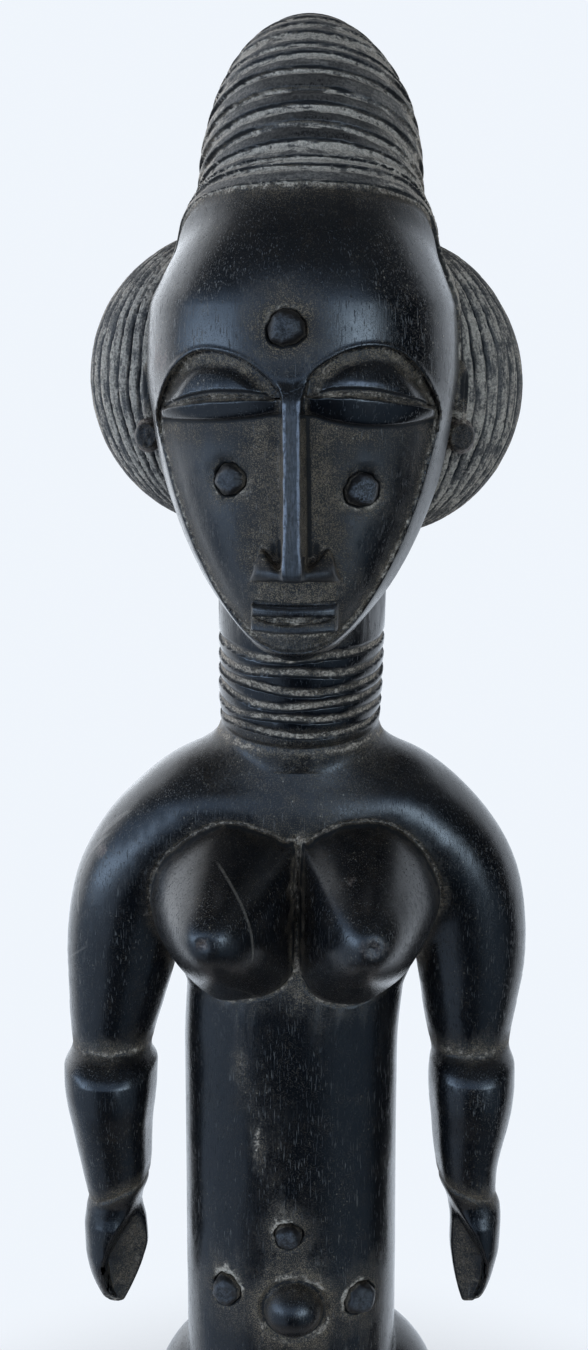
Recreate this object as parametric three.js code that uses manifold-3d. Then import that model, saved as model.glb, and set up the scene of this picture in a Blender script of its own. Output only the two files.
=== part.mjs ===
// Attie figure: a standing woman carved from one block of dark hardwood, with a
// ringed neck, tall ridged coiffure and two side buns, on a low round base.
// Six small wooden pegs are let into the forehead, cheeks and belly.
// Millimetres, +Z up, the figure faces -Y, origin at the centre of the underside.
import * as THREE from 'three';
import { mergeVertices } from 'three/addons/utils/BufferGeometryUtils.js';
import Module from 'manifold-3d';

const wasm = await Module();
wasm.setup();

// ---- Driving dimensions -------------------------------------------------
const BASE_RADIUS = 44, BASE_HEIGHT = 18, BASE_EDGE = 2.5;
const FOOT = { x: 17.5, y: -7, z: 19, half: [8.8, 17.5, 10.5] };
const LEG = [ // height, centre x, centre y, half-width, half-depth
  [14, 17, -1, 8.2, 8.6], [30, 17, 0, 8.4, 8.9], [40, 17.2, 1.5, 9.9, 10.6],
  [54, 17.6, 3, 13, 14], [66, 18, 3, 14.6, 15.6], [71.5, 18.1, 2, 14.2, 15],
  [74.5, 18.1, 0, 11.9, 12.7], [82, 18.1, -1.4, 12.6, 13.4], [94, 17.9, -1, 15.6, 16.4],
  [106, 17.4, 0, 17.7, 18.4], [116, 16.6, 1, 17, 17.4], [126, 13, 3, 11, 12]];
const HIP = { x: 1.5, y: 4.5, z: 115, wide: 36.5, deep: 25, up: 31, down: 25, power: 2.3 };
const TORSO = [ // height, half-width, front depth, back depth, squareness
  [114, 21, 17, 16, 2.3], [124, 24.4, 20.2, 18, 2.4], [134, 25.3, 21.7, 19, 2.5],
  [146, 25.5, 22, 19.2, 2.5], [162, 25.5, 22, 19.2, 2.5], [186, 25.3, 21.2, 19.2, 2.5],
  [216, 25.2, 21, 19.8, 2.5], [235, 25.4, 21, 20, 2.5], [240, 27, 21, 20, 2.4],
  [246, 30, 20.8, 20, 2.3], [256, 33, 20.2, 19.5, 2.2], [268, 30, 19, 18, 2.1],
  [279, 24, 17, 16, 2], [287, 17, 15, 14, 2]];
const ARCH = [ // shoulder and upper arm: x, height, radius in the plane, half-depth
  [0, 282, 13, 16], [13, 282, 13, 16], [21.5, 279.4, 13, 15.6], [30.4, 271.6, 13, 14.8],
  [35.9, 263.4, 13, 14], [38.9, 255, 13, 13.4], [40.6, 243, 12.8, 12.6], [41.9, 230, 11, 11.4],
  [42.7, 218, 9.2, 9.8], [43, 208, 8.4, 9]];
const FOREARM = [ // height, centre x, centre y, half-width, half-depth
  [151, 43.2, -4, 1.3, 1.5], [153.2, 43.3, -4, 3, 3.3], [156.8, 43.4, -4, 4.5, 5],
  [161, 43.5, -4, 5.7, 6.3], [168.4, 43.5, -4, 6.7, 7.6], [174.5, 43.4, -4, 6.5, 7.6],
  [178.2, 42.9, -3.8, 6.3, 7], [181, 42.4, -3.6, 6.8, 7.4], [185, 42.3, -3.5, 7.4, 8.2],
  [193, 42.7, -3.2, 8.5, 9.5], [201, 43, -3, 9.5, 10.8], [208.5, 43.2, -3, 10.3, 12],
  [213.5, 43.3, -2.8, 10.2, 11.8], [216.4, 43.2, -2.4, 9.1, 10.4], [217.8, 43, -2, 7, 8]];
const ARM_FULLNESS = { '-1': 1.05, '1': 0.95 }; // the arm on the -X side is the thicker
const PALM = { x: 36.6, y: -7.4, z: 163.5, half: [5.2, 6.6, 13] };
const BREAST = [ // distance in front of the axis, centre x, height, half-width, half-height
  [8, 16.2, 257, 17, 20], [18, 16.2, 257, 16.6, 19.6], [24, 16.2, 257.6, 14.4, 16.6],
  [30, 16, 258.7, 11, 12.7], [36, 15.9, 259.9, 7.3, 8.3], [41, 15.7, 260.8, 3.9, 4.3],
  [43.6, 15.6, 261, 2.1, 2.3], [44.3, 15.6, 261, 0.8, 0.9]];
const BREAST_DRIFT = -1.4; // both points look a little to one side
const NAVEL = { x: -0.1, y: -20.6, z: 161.6, half: [6.5, 6.6, 6.5] };
const NECK = { radius: 18.4, groove: 0.75, foot: 298.7, pitch: 3.45, rings: 7, tilt: 9.4,
  axisY: 1.5, axisZ: 292, slope: -4 / 26 };
const HEAD = [ // height, half-width, centre y, front y, back y
  [317.4, 4.5, -24, -32.2, -14], [319.5, 8.4, -22, -34.2, -11], [325, 14, -19, -35.8, -4],
  [334, 20.8, -15, -36, 5], [345, 26.2, -12, -36.2, 13], [355, 29.6, -10, -36.4, 18],
  [366, 31.6, -9, -37.2, 22], [376, 32.8, -8, -38.2, 25], [390, 32.2, -8, -38, 26],
  [400, 29.4, -7, -35.2, 23.5], [408, 25, -5, -30.6, 18], [414, 18, -3, -24, 12]];
const HEAD_POWER = 2.2;
const FACE_DROP = 2.4;   // the face lies this far behind the forehead
const FACE_SIDE = 0.4;   // and this far inside the cheeks
const BROW = [[2.2, 371.6], [6, 381.6], [22, 384.6], [29.2, 367.2]]; // x, height
const JAW = [[29.2, 367.2], [27.2, 361.5], [24.8, 352], [21.8, 342.6], [17.2, 333],
  [12.6, 325.8], [7.4, 321], [0, 319.3]];
const NOSE = [ // height, half-width of the ridge, half-width at the face, front y
  [378.5, 1.7, 2, -36.6], [375, 1.6, 2.4, -38.8], [371, 1.5, 2.8, -39.9],
  [355, 1.5, 3, -42], [342, 1.6, 3.6, -43.9], [337, 1.9, 4.6, -44.4], [335.2, 1.9, 4.8, -43.4]];
const WING = [ // height, half-width, front y
  [341.5, 4.6, -36.6], [339.8, 6.4, -37.6], [337, 7.6, -38.6], [335.2, 7.9, -38]];
const LID = { x: 16.2, y: -27.2, z: 371.6, half: [12.4, 7.2, 6.2], turn: 24 };
const SLIT = { x: 16.5, y: -33, z: 370.6, half: [13.5, 6, 0.5], turn: 24 };
const LIP = { half: 8.6, front: -38.6, bars: [[327.9, 330.2], [324.2, 326.4]] };
const EAR = { x: 33.2, y: -5.5, z: 371.5, half: [2.4, 4.6, 7], lobe: [34, -5.5, 361.8, 3.4] };
const HAIRLINE = [[-40, 411], [-29, 411.8], [-16, 409], [-8, 402], [-4, 392], [-2, 378],
  [0, 352], [6, 338], [14, 332]]; // y, height, seen from the side
const HAIR_LIFT = 1.5;
const BUN = { x: 15.8, shift: -0.7, y: 14, z: 373.5, half: [33.7, 19.5, 33.7], ridges: 17, ridge: 0.8 };
const CREST = { y: -3.3, z: 403.3, lean: 18, ridges: 12, groove: 0.9,
  profile: [[-8, 27.8], [0, 27.2], [4, 25.8], [8.5, 24.1], [18, 23.3], [27, 21.4], [34, 18.4],
    [40, 14.3], [43.8, 10.5], [46.2, 6.8], [47.8, 3.4], [48.5, 1]] };
const HEAD_TURN = -4.3, HEAD_AXIS_Y = -8;
const SWAY = [[0, -0.7], [220, -0.7], [240, 0.5], [300, 1.4], [340, 1.9], [388, 1.9],
  [408, 2.9], [428, 3.1], [445, 2.4], [460, 2.2]]; // height, sideways lean of the block
const PEG_GAP = 0.3, PEG_DEPTH = 5;
const PEGS = [ // name, on the head, x, y, height, sideways turn, upward tilt, radii, rise, sides
  ['peg_forehead', true, -1.2, -38.1, 384, -2, 4, 3.6, 3.4, 2.4, 9],
  ['peg_cheek_left', true, -13, -32.4, 354.6, -24, -2, 3.5, 3.4, 1.9, 8],
  ['peg_cheek_right', true, 13.5, -32.2, 353.4, 24, -2, 3.8, 3.6, 2.1, 9],
  ['peg_belly_top', false, -0.6, -21.4, 180.2, -2, 0, 3.2, 2.9, 1.9, 7],
  ['peg_belly_left', false, -15.2, -19.2, 165.1, -28, 0, 3.3, 3.9, 1.8, 8],
  ['peg_belly_right', false, 16.4, -18.8, 162.6, 28, 0, 3.9, 3.8, 1.9, 9]];

// ---- Geometry helpers ---------------------------------------------------
const V = (x, y, z) => new THREE.Vector3(x, y, z);
const rad = THREE.MathUtils.degToRad;
const signPow = (v, p) => Math.sign(v) * Math.abs(v) ** p;

// Smooth reading of a table of rows [t, a, b, ...], with no overshoot.
function table(rows) {
  const t = rows.map(r => r[0]), n = rows.length, cols = rows[0].length - 1;
  const slope = [];
  for (let i = 0; i < n; i++) slope.push(Array.from({ length: cols }, (_, k) => {
    if (i === 0 || i === n - 1) return 0;
    const a = (rows[i][k + 1] - rows[i - 1][k + 1]) / (t[i] - t[i - 1]);
    const b = (rows[i + 1][k + 1] - rows[i][k + 1]) / (t[i + 1] - t[i]);
    return a * b <= 0 ? 0 : 2 * a * b / (a + b);
  }));
  return x => {
    let i = 0;
    while (i < n - 2 && x > t[i + 1]) i++;
    const h = t[i + 1] - t[i], u = Math.min(1, Math.max(0, (x - t[i]) / h));
    return Array.from({ length: cols }, (_, k) => {
      const p = rows[i][k + 1], q = rows[i + 1][k + 1];
      return p * (1 + 2 * u) * (1 - u) ** 2 + q * u * u * (3 - 2 * u)
        + h * (slope[i][k] * u * (1 - u) ** 2 - slope[i + 1][k] * u * u * (1 - u));
    });
  };
}

// Closed skin over rings of points; each end is closed by a fan.
function skin(rings) {
  const n = rings[0].length, at = [], face = [];
  const put = p => at.push(p.x, p.y, p.z) / 3 - 1;
  rings.forEach(r => r.forEach(put));
  for (let i = 0; i + 1 < rings.length; i++) for (let j = 0; j < n; j++) {
    const a = i * n + j, b = i * n + (j + 1) % n;
    face.push(a, b, b + n, a, b + n, a + n);
  }
  for (const [i, flip] of [[0, true], [rings.length - 1, false]]) {
    const mid = rings[i].reduce((s, p) => s.add(p), V(0, 0, 0)).divideScalar(n), m = put(mid);
    for (let j = 0; j < n; j++) {
      const a = i * n + j, b = i * n + (j + 1) % n;
      face.push(...(flip ? [m, b, a] : [m, a, b]));
    }
  }
  const g = new THREE.BufferGeometry();
  g.setAttribute('position', new THREE.Float32BufferAttribute(at, 3));
  g.setIndex(face);
  return g;
}

// One ring of a rounded section lying flat at a height.
function ring(n, x, y, z, wide, front, back, power) {
  return Array.from({ length: n }, (_, j) => {
    const a = 2 * Math.PI * j / n, c = Math.cos(a), s = Math.sin(a);
    return V(x + wide * signPow(c, 2 / power), y + (s < 0 ? front : back) * signPow(s, 2 / power), z);
  });
}

const heights = (from, to, count) => Array.from({ length: count + 1 }, (_, i) => from + (to - from) * i / count);

// Geometry to solid: shared corners merged, flat triangles dropped, faces outward.
function solid(geometry) {
  let g = geometry.clone();
  g.deleteAttribute('normal');
  g.deleteAttribute('uv');
  g = mergeVertices(g, 1e-4);
  const p = g.attributes.position, tri = [];
  let volume = 0;
  for (let i = 0; i < g.index.count; i += 3) {
    const [a, b, c] = [0, 1, 2].map(k => g.index.getX(i + k));
    if (a === b || b === c || a === c) continue;
    tri.push(a, b, c);
    const [A, B, C] = [a, b, c].map(k => V(p.getX(k), p.getY(k), p.getZ(k)));
    volume += A.dot(B.cross(C));
  }
  if (volume < 0) for (let i = 0; i < tri.length; i += 3) [tri[i], tri[i + 1]] = [tri[i + 1], tri[i]];
  return new wasm.Manifold(new wasm.Mesh({
    numProp: 3, vertProperties: new Float32Array(p.array), triVerts: new Uint32Array(tri) }));
}

const egg = (half, wide = 16, tall = 10) => new THREE.SphereGeometry(1, wide, tall).scale(...half);
const join = list => list.reduce((a, b) => a.add(b));
const both = make => join([solid(make(1)), solid(make(-1))]);

// ---- Base, legs, hips ---------------------------------------------------
function base() {
  const r = BASE_RADIUS, h = BASE_HEIGHT, e = BASE_EDGE;
  const profile = [[0, 0], [r - 1, 0], [r, 1], [r, h - e], [r - e, h], [0, h]];
  return solid(new THREE.LatheGeometry(profile.map(([x, y]) => new THREE.Vector2(x, y)), 32).rotateX(Math.PI / 2));
}

function leg(side) {
  const at = table(LEG);
  return skin([14, 31, 44, 56, 66, 71.5, 74.5, 83, 95, 107, 117, 126].map(z => {
    const [x, y, w, d] = at(z);
    return ring(12, side * x, y, z, w, d, d, 2.1);
  }));
}

const foot = side => egg(FOOT.half, 10, 6).translate(side * FOOT.x, FOOT.y, FOOT.z);

function hips() {
  const { x, y, z, wide, deep, up, down, power } = HIP;
  const rings = [-0.96, -0.8, -0.5, -0.15, 0.2, 0.5, 0.75, 0.9, 0.98].map(u => {
    const f = (1 - Math.abs(u) ** power) ** (1 / power);
    return ring(20, x, y, z + u * (u > 0 ? up : down), wide * f, deep * f * 0.86, deep * f, 2.2);
  });
  return solid(skin(rings));
}

// ---- Torso, shoulders, arms --------------------------------------------
function torso() {
  const at = table(TORSO);
  return solid(skin([114, 126, 140, 185, 235, 241, 248, 257, 270, 287].map(z => {
    const [w, f, b, p] = at(z);
    return ring(22, 0, 0, z, w, f, b, p);
  })));
}

// Both shoulders and upper arms are one horseshoe arch over the chest.
function arch() {
  const half = ARCH.map(r => r.slice());
  const line = [...half.slice(1).reverse().map(([x, ...r]) => [-x, ...r]), ...half];
  const path = new THREE.CatmullRomCurve3(line.map(([x, z]) => V(x, 0, z)), false, 'centripetal');
  const size = table(line.map(([, , a, b], i) => [i / (line.length - 1), a, b]));
  const steps = 22, rings = [];
  for (let i = 0; i <= steps; i++) {
    const t = i / steps, p = path.getPoint(t), dir = path.getTangent(t);
    const out = V(-dir.z, 0, dir.x), [a, b] = size(t);
    rings.push(Array.from({ length: 14 }, (_, j) => {
      const q = 2 * Math.PI * j / 14;
      return p.clone().addScaledVector(out, a * Math.cos(q)).add(V(0, b * Math.sin(q), 0));
    }));
  }
  return solid(skin(rings));
}

function forearm(side) {
  const at = table(FOREARM);
  return skin([151, 153.2, 157, 162, 169, 174.5, 178.2, 182, 194, 208.5, 213.5, 216.4, 217.8].map(z => {
    const [x, y, w, d] = at(z), k = ARM_FULLNESS[side];
    return ring(12, side * x, y, z, w * k, d * k, d * k, 2.1);
  }));
}

const palm = side => egg(PALM.half, 8, 6).rotateY(rad(side * 6)).translate(side * PALM.x, PALM.y, PALM.z);

function breast(side) {
  const at = table(BREAST);
  return skin([8, 18, 24, 31, 38, 42.5, 44.3].map(d => {
    const [x, z, w, h] = at(d), drift = BREAST_DRIFT * Math.max(0, (d - 18) / 26);
    return Array.from({ length: 16 }, (_, j) => {
      const a = 2 * Math.PI * j / 16;
      return V(side * x + drift + w * Math.cos(a), -d, z + h * Math.sin(a));
    });
  }));
}

// ---- Neck ---------------------------------------------------------------
function neck() {
  const { radius, groove, foot: low, pitch, rings: count, tilt, axisY, axisZ, slope } = NECK;
  const levels = [[low - 14, radius - 4], [low - 5, radius - 0.6], [low - 1.2, radius]];
  for (let i = 0; i < count; i++) {
    levels.push([low + i * pitch, radius - groove]);
    levels.push([low + (i + 0.5) * pitch, radius]);
  }
  levels.push([low + count * pitch, radius - groove], [low + count * pitch + 12, radius - 1]);
  return solid(skin(levels.map(([z, r]) => ring(18, 0, 0, 0, r, r, r, 2).map(p =>
    p.applyAxisAngle(V(1, 0, 0), rad(tilt)).add(V(0, axisY + (z - axisZ) * slope, z))))));
}

// ---- Head ---------------------------------------------------------------
const HEAD_HEIGHTS = [317.4, 320, 325, 332, 341, 351, 362, 373, 384, 393, 401, 408, 414];

function headShape(grow, frontGrow) {
  const at = table(HEAD);
  return solid(skin(HEAD_HEIGHTS.map(z => {
    const [w, c, f, b] = at(z);
    return ring(26, 0, c, z, w + grow, c - f + frontGrow, b - c + grow, HEAD_POWER);
  })));
}

// The heart-shaped outline of the face: two brow arcs above, the jaw below.
function faceOutline() {
  const brow = new THREE.CubicBezierCurve(...BROW.map(([x, z]) => new THREE.Vector2(x, z))).getPoints(7);
  const jaw = new THREE.SplineCurve(JAW.map(([x, z]) => new THREE.Vector2(x, z))).getPoints(9).slice(1);
  const right = [...brow, ...jaw];
  const left = right.slice(0, -1).reverse().map(p => new THREE.Vector2(-p.x, p.y));
  const shape = new THREE.Shape([...right, ...left]);
  return new THREE.ExtrudeGeometry(shape, { depth: 50, bevelEnabled: false, steps: 1 })
    .rotateX(Math.PI / 2).translate(0, -12, 0);
}

function noseShape() {
  const column = skin(NOSE.slice().reverse().map(([z, top, foot, y]) =>
    [V(-foot, -30, z), V(foot, -30, z), V(foot * 0.9, -36, z), V(top, y + 0.3, z), V(top * 0.8, y, z),
      V(-top * 0.8, y, z), V(-top, y + 0.3, z), V(-foot * 0.9, -36, z)]));
  const wings = skin(WING.slice().reverse().map(([z, w, y]) =>
    [V(-w, -30, z), V(w, -30, z), V(w, y + 1.4, z), V(w * 0.6, y, z), V(-w * 0.6, y, z), V(-w, y + 1.4, z)]));
  return solid(column).add(solid(wings));
}

function lip([low, high]) {
  const mid = (low + high) / 2, h = (high - low) / 2, rings = [];
  for (const [u, f] of [[-1, 0.7], [-0.9, 1], [-0.45, 1], [0, 1], [0.45, 1], [0.9, 1], [1, 0.7]]) {
    const x = u * LIP.half, y = LIP.front + 1.9 * u * u;
    rings.push([V(x, -32, mid - h), V(x, y + 0.7, mid - h * f), V(x, y, mid - h * f * 0.4),
      V(x, y, mid + h * f * 0.4), V(x, y + 0.7, mid + h * f), V(x, -32, mid + h)]);
  }
  return solid(skin(rings));
}

const lid = side => egg(LID.half, 12, 6).rotateZ(rad(side * LID.turn)).translate(side * LID.x, LID.y, LID.z);
const slit = side => new THREE.BoxGeometry(...SLIT.half.map(v => 2 * v))
  .rotateY(rad(side * 3)).rotateZ(rad(side * SLIT.turn)).translate(side * SLIT.x, SLIT.y, SLIT.z);
const ear = side => egg(EAR.half, 10, 6).rotateZ(rad(side * -14)).translate(side * EAR.x, EAR.y, EAR.z);
const lobe = side => egg([1, 1, 1].map(v => v * EAR.lobe[3]), 8, 6).translate(side * EAR.lobe[0], EAR.lobe[1], EAR.lobe[2]);

function hairCap() {
  const line = new THREE.SplineCurve(HAIRLINE.map(([y, z]) => new THREE.Vector2(y, z))).getPoints(14);
  const shape = new THREE.Shape([...line, new THREE.Vector2(60, 332), new THREE.Vector2(60, 430), new THREE.Vector2(-40, 430)]);
  const region = new THREE.ExtrudeGeometry(shape, { depth: 100, bevelEnabled: false, steps: 1 })
    .translate(0, 0, -50).rotateX(Math.PI / 2).rotateZ(Math.PI / 2);
  return headShape(HAIR_LIFT, HAIR_LIFT).intersect(solid(region));
}

function bun(side) {
  const n = 2 * BUN.ridges, rings = [];
  for (const t of [-78, -52, -26, 0, 26, 52, 78]) {
    const f = Math.cos(rad(t)), z = BUN.z + BUN.half[2] * Math.sin(rad(t));
    rings.push(Array.from({ length: n }, (_, j) => {
      const a = 2 * Math.PI * j / n, cut = f * (j % 2 ? BUN.ridge : 0);
      return V(side * BUN.x + BUN.shift + (BUN.half[0] * f - cut) * Math.cos(a), BUN.y + (BUN.half[1] * f - cut) * Math.sin(a), z);
    }));
  }
  return skin(rings);
}

// The tall crest of hair: a bell of stacked ridges that leans back.
function crest() {
  const at = table(CREST.profile), rings = [], top = 48.5;
  const level = (s, cut) => {
    const r = at(s)[0] - cut;
    rings.push(ring(22, 0, 0, s, r, r, r, 2).map(p => p.applyAxisAngle(V(1, 0, 0), rad(-CREST.lean)).add(V(0, CREST.y, CREST.z))));
  };
  level(-8, 0);
  for (let i = 0; i < CREST.ridges; i++) {
    const s = -1 + i * (top - 4) / CREST.ridges, h = (top - 4) / CREST.ridges, cut = CREST.groove * (i > 9 ? 0.6 : 1);
    level(s, cut);
    level(s + 0.3 * h, 0);
  }
  level(46.2, 0.2);
  level(47.8, 0.2);
  level(top, 0);
  return solid(skin(rings));
}

function head() {
  const heart = solid(faceOutline());
  const face = headShape(-FACE_SIDE, -FACE_DROP);
  let h = headShape(0, 0).subtract(heart).add(face);
  h = join([h, both(lid)]).subtract(both(slit));
  h = join([h, noseShape(), ...LIP.bars.map(lip), both(ear), both(lobe)]);
  return join([h, hairCap(), both(bun), crest()]);
}

// ---- Pegs ---------------------------------------------------------------
// Whittled round pegs, slightly out of round, standing a little proud.
function pegShape(wide, high, rise, sides, grow) {
  const outline = Array.from({ length: sides }, (_, j) => {
    const a = 2 * Math.PI * (j + 0.35) / sides, k = 1 + 0.05 * Math.sin(3 * a + sides);
    return [Math.cos(a) * wide * k, Math.sin(a) * high * k];
  });
  const at = (d, f) => outline.map(([x, z]) => V(x * f + grow * Math.sign(x) * 0.8, d, z * f + grow * Math.sign(z) * 0.8));
  if (grow) return skin([at(PEG_DEPTH + grow, 1.02), at(-6, 1.02)]);
  return skin([at(PEG_DEPTH, 0.9), at(0, 1), at(-rise * 0.6, 0.97), at(-rise, 0.72)]);
}

function place(geometry, [, onHead, x, y, z, turn, tilt]) {
  geometry.rotateX(rad(-tilt)).rotateZ(rad(turn)).translate(x, y, z);
  return onHead ? turnHead(geometry) : geometry;
}

const turnHead = g => g.translate(0, -HEAD_AXIS_Y, 0).rotateZ(rad(HEAD_TURN)).translate(0, HEAD_AXIS_Y, 0);

// ---- Finishing ----------------------------------------------------------
const sway = table(SWAY);

function finish(manifold) {
  const m = manifold.getMesh(), at = new Float32Array(m.numVert * 3);
  for (let i = 0; i < m.numVert; i++) {
    const [x, y, z] = [0, 1, 2].map(k => m.vertProperties[i * m.numProp + k]);
    at.set([x + sway(z)[0], y, z], i * 3);
  }
  const g = new THREE.BufferGeometry();
  g.setAttribute('position', new THREE.BufferAttribute(at, 3));
  g.setIndex(Array.from(m.triVerts));
  return g;
}

const geometryOf = manifold => {
  const m = manifold.getMesh(), g = new THREE.BufferGeometry();
  g.setAttribute('position', new THREE.BufferAttribute(new Float32Array(m.vertProperties), 3));
  g.setIndex(Array.from(m.triVerts));
  return g;
};

const turnedHead = solid(turnHead(geometryOf(head())));
const navel = solid(egg(NAVEL.half, 12, 6).translate(NAVEL.x + 0.7, NAVEL.y, NAVEL.z));
const arms = both(forearm).subtract(both(palm));
let body = join([base(), both(leg), both(foot), hips(), torso(), arch(), arms, both(breast), navel, neck(), turnedHead]);
for (const peg of PEGS) body = body.subtract(solid(place(pegShape(peg[7], peg[8], peg[9], peg[10], PEG_GAP), peg)));

const wood = new THREE.MeshStandardMaterial({ color: 0x1b1817, roughness: 0.42, metalness: 0 });
const pegWood = new THREE.MeshStandardMaterial({ color: 0x26221f, roughness: 0.5, metalness: 0 });
const figure = new THREE.Group();
const add = (name, geometry, material) => {
  geometry.computeVertexNormals();
  const mesh = new THREE.Mesh(geometry, material);
  mesh.name = name;
  figure.add(mesh);
};
add('figure', finish(body), wood);
for (const peg of PEGS) add(peg[0], finish(solid(place(pegShape(peg[7], peg[8], peg[9], peg[10], 0), peg))), pegWood);

export default figure;
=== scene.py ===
# Looks of the attie figure: one carved block with dusty ridges and a worn polish, and six whittled pegs.
# The shape is a distance field in numpy, turned into a mesh here. Lengths in the field are millimetres.
import math

import bpy
import numpy as np
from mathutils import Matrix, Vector


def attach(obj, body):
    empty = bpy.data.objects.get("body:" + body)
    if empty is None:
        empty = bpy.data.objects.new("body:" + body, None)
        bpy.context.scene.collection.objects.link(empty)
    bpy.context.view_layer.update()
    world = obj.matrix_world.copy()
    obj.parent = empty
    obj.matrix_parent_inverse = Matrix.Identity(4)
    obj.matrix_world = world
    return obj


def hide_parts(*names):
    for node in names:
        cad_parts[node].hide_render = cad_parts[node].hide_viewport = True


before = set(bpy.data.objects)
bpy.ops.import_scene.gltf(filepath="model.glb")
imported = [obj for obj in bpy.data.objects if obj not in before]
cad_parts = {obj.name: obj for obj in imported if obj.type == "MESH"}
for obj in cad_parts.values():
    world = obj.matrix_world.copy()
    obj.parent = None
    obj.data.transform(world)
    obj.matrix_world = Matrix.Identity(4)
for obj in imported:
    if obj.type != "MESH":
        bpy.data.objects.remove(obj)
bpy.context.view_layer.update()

# ---- numbers of the carved shape, in millimetres ------------------------
# Heights run up +Z, the figure looks along -Y. Rows are [height, ...] unless said.
LEG = [[14, 17, -1, 8.2, 8.6], [30, 17, 0, 8.4, 8.9], [40, 17.2, 1.5, 9.9, 10.6],
       [54, 17.6, 3, 13, 14], [66, 18, 3, 14.6, 15.6], [71.5, 18.1, 2, 14.2, 15],
       [74.5, 18.1, 0, 11.9, 12.7], [82, 18.1, -1.4, 12.6, 13.4], [94, 17.9, -1, 15.6, 16.4],
       [106, 17.4, 0, 17.7, 18.4], [116, 16.6, 1, 17, 17.4], [126, 13, 3, 11, 12]]
TORSO = [[114, 21, 17, 16, 2.3], [124, 24.4, 20.2, 18, 2.4], [134, 25.3, 21.7, 19, 2.5],
         [146, 25.5, 22, 19.2, 2.5], [162, 25.5, 22, 19.2, 2.5], [186, 25.3, 21.2, 19.2, 2.5],
         [216, 25.2, 21, 19.8, 2.5], [235, 25.4, 21, 20, 2.5], [240, 27, 21, 20, 2.4],
         [246, 30, 20.8, 20, 2.3], [256, 33, 20.2, 19.5, 2.2], [268, 30, 19, 18, 2.1],
         [279, 24, 17, 16, 2], [287, 17, 15, 14, 2]]
ARCH = [[0, 281.2, 13, 16], [13, 281.2, 13, 16], [21.5, 279.1, 13, 15.6], [30.4, 271.6, 13.1, 14.8],
        [36.1, 263.4, 13.4, 14], [39.2, 255, 13.4, 13.4], [40.9, 243, 13, 12.6], [41.9, 230, 11.2, 11.4],
        [42.7, 218, 9.2, 9.8], [43, 208, 8.4, 9]]
# forearm and hand, seen from the front: height, centre and half-width on the left, then on the right
FOREARM_FRONT = [[150.6, 42.6, 0.9, 43.2, 0.9], [152, 42.65, 1.9, 43.4, 1.8], [157.4, 42.75, 4.7, 44.1, 4.0], [162.8, 42.6, 6.6, 44.3, 5.2],
                 [168.2, 42.3, 7.6, 44.5, 6.0], [173.6, 42.5, 7.5, 44.6, 6.1], [178.4, 42.7, 6.7, 44.2, 6.3], [180.6, 42.3, 6.6, 43.5, 6.2],
                 [184.3, 41.9, 7.5, 42.5, 6.8], [189.6, 42, 8.4, 42.2, 7.5], [194.9, 42.4, 9, 42.4, 8.4], [200.1, 42.7, 9.6, 42.8, 9.2],
                 [205.3, 42.8, 10.4, 42.9, 9.9], [210.5, 42.8, 10.9, 42.9, 10.2], [215, 42.7, 11, 43, 10], [217, 42.8, 10, 43.1, 9.2],
                 [219.6, 42.9, 8.6, 43, 8]]
# the same from the side: height, middle, half-depth
FOREARM_SIDE = [[150.6, -4, 1], [153.2, -4, 3.3], [156.8, -4, 5], [161, -4, 6.3], [168.4, -4, 7.6], [174.5, -4, 7.6],
                [178.2, -3.8, 7], [180.4, -3.6, 7], [182, -3.6, 7.5], [185, -3.5, 8.2], [193, -3.2, 9.5], [201, -3, 10.8],
                [208.5, -3, 12], [213, -2.8, 12], [214.8, -2.6, 11.6], [217, -2.4, 10.4], [219.6, -2, 8.6]]
HEAD = [[317.4, 4.5, -24, -32.2, -14], [319.5, 8.4, -22, -34.2, -11], [325, 14, -19, -35.8, -4],
        [334, 20.8, -15, -36, 5], [345, 26.2, -12, -36.2, 13], [355, 29.6, -10, -36.4, 18],
        [366, 31.6, -9, -37.2, 22], [376, 32.8, -8, -38.2, 25], [388, 32, -8, -38, 26],
        [395, 29.3, -7.5, -36.8, 25], [400, 26.9, -7, -35.2, 23.5], [404, 25, -6, -33.2, 21],
        [408, 23.2, -5, -30.6, 18], [414, 17, -3, -24, 12]]
NOSE = [[335.2, 1.9, 3.1, -43.4], [337, 1.9, 2.95, -44.4], [342, 1.7, 2.85, -43.9], [355, 1.6, 2.8, -42],
        [366, 1.62, 2.75, -40.4], [369.6, 1.75, 2.75, -39.6], [372, 2.3, 2.9, -38.9], [374.5, 3.2, 3.2, -37.9], [378.3, 3.4, 3.4, -35.5]]
SWAY = [[0, -0.7], [220, -0.7], [240, 0.5], [300, 1.4], [340, 1.9], [388, 1.9],
        [408, 2.9], [428, 3.1], [445, 2.4], [460, 2.2]]
CREST = [[-12, 27.6], [0, 27.2], [4, 25.8], [8.5, 24.1], [18, 23.3], [27, 21.4], [34, 18.4],
         [40, 14.3], [43.8, 10.3], [46.2, 6.4], [47.6, 3.2], [48.4, 0.5]]
CREST_AT, CREST_LEAN = (-3.3, 403.3), math.radians(18)
# grooves up the crest: place along its axis, half-width, depth
CREST_GROOVES = [[-0.9, 0.9, 0.7], [2.85, 0.62, 0.75], [4.9, 0.65, 0.6], [8.7, 1.35, 0.75], [13.4, 0.72, 0.85],
                 [17.0, 0.95, 0.85], [21.1, 0.6, 0.9], [25.6, 0.7, 0.9], [29.4, 0.8, 0.7], [31.95, 0.55, 0.5],
                 [35.0, 1.25, 0.5], [38.5, 0.85, 0.45], [41.3, 0.65, 0.4], [44.2, 0.6, 0.35]]
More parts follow.
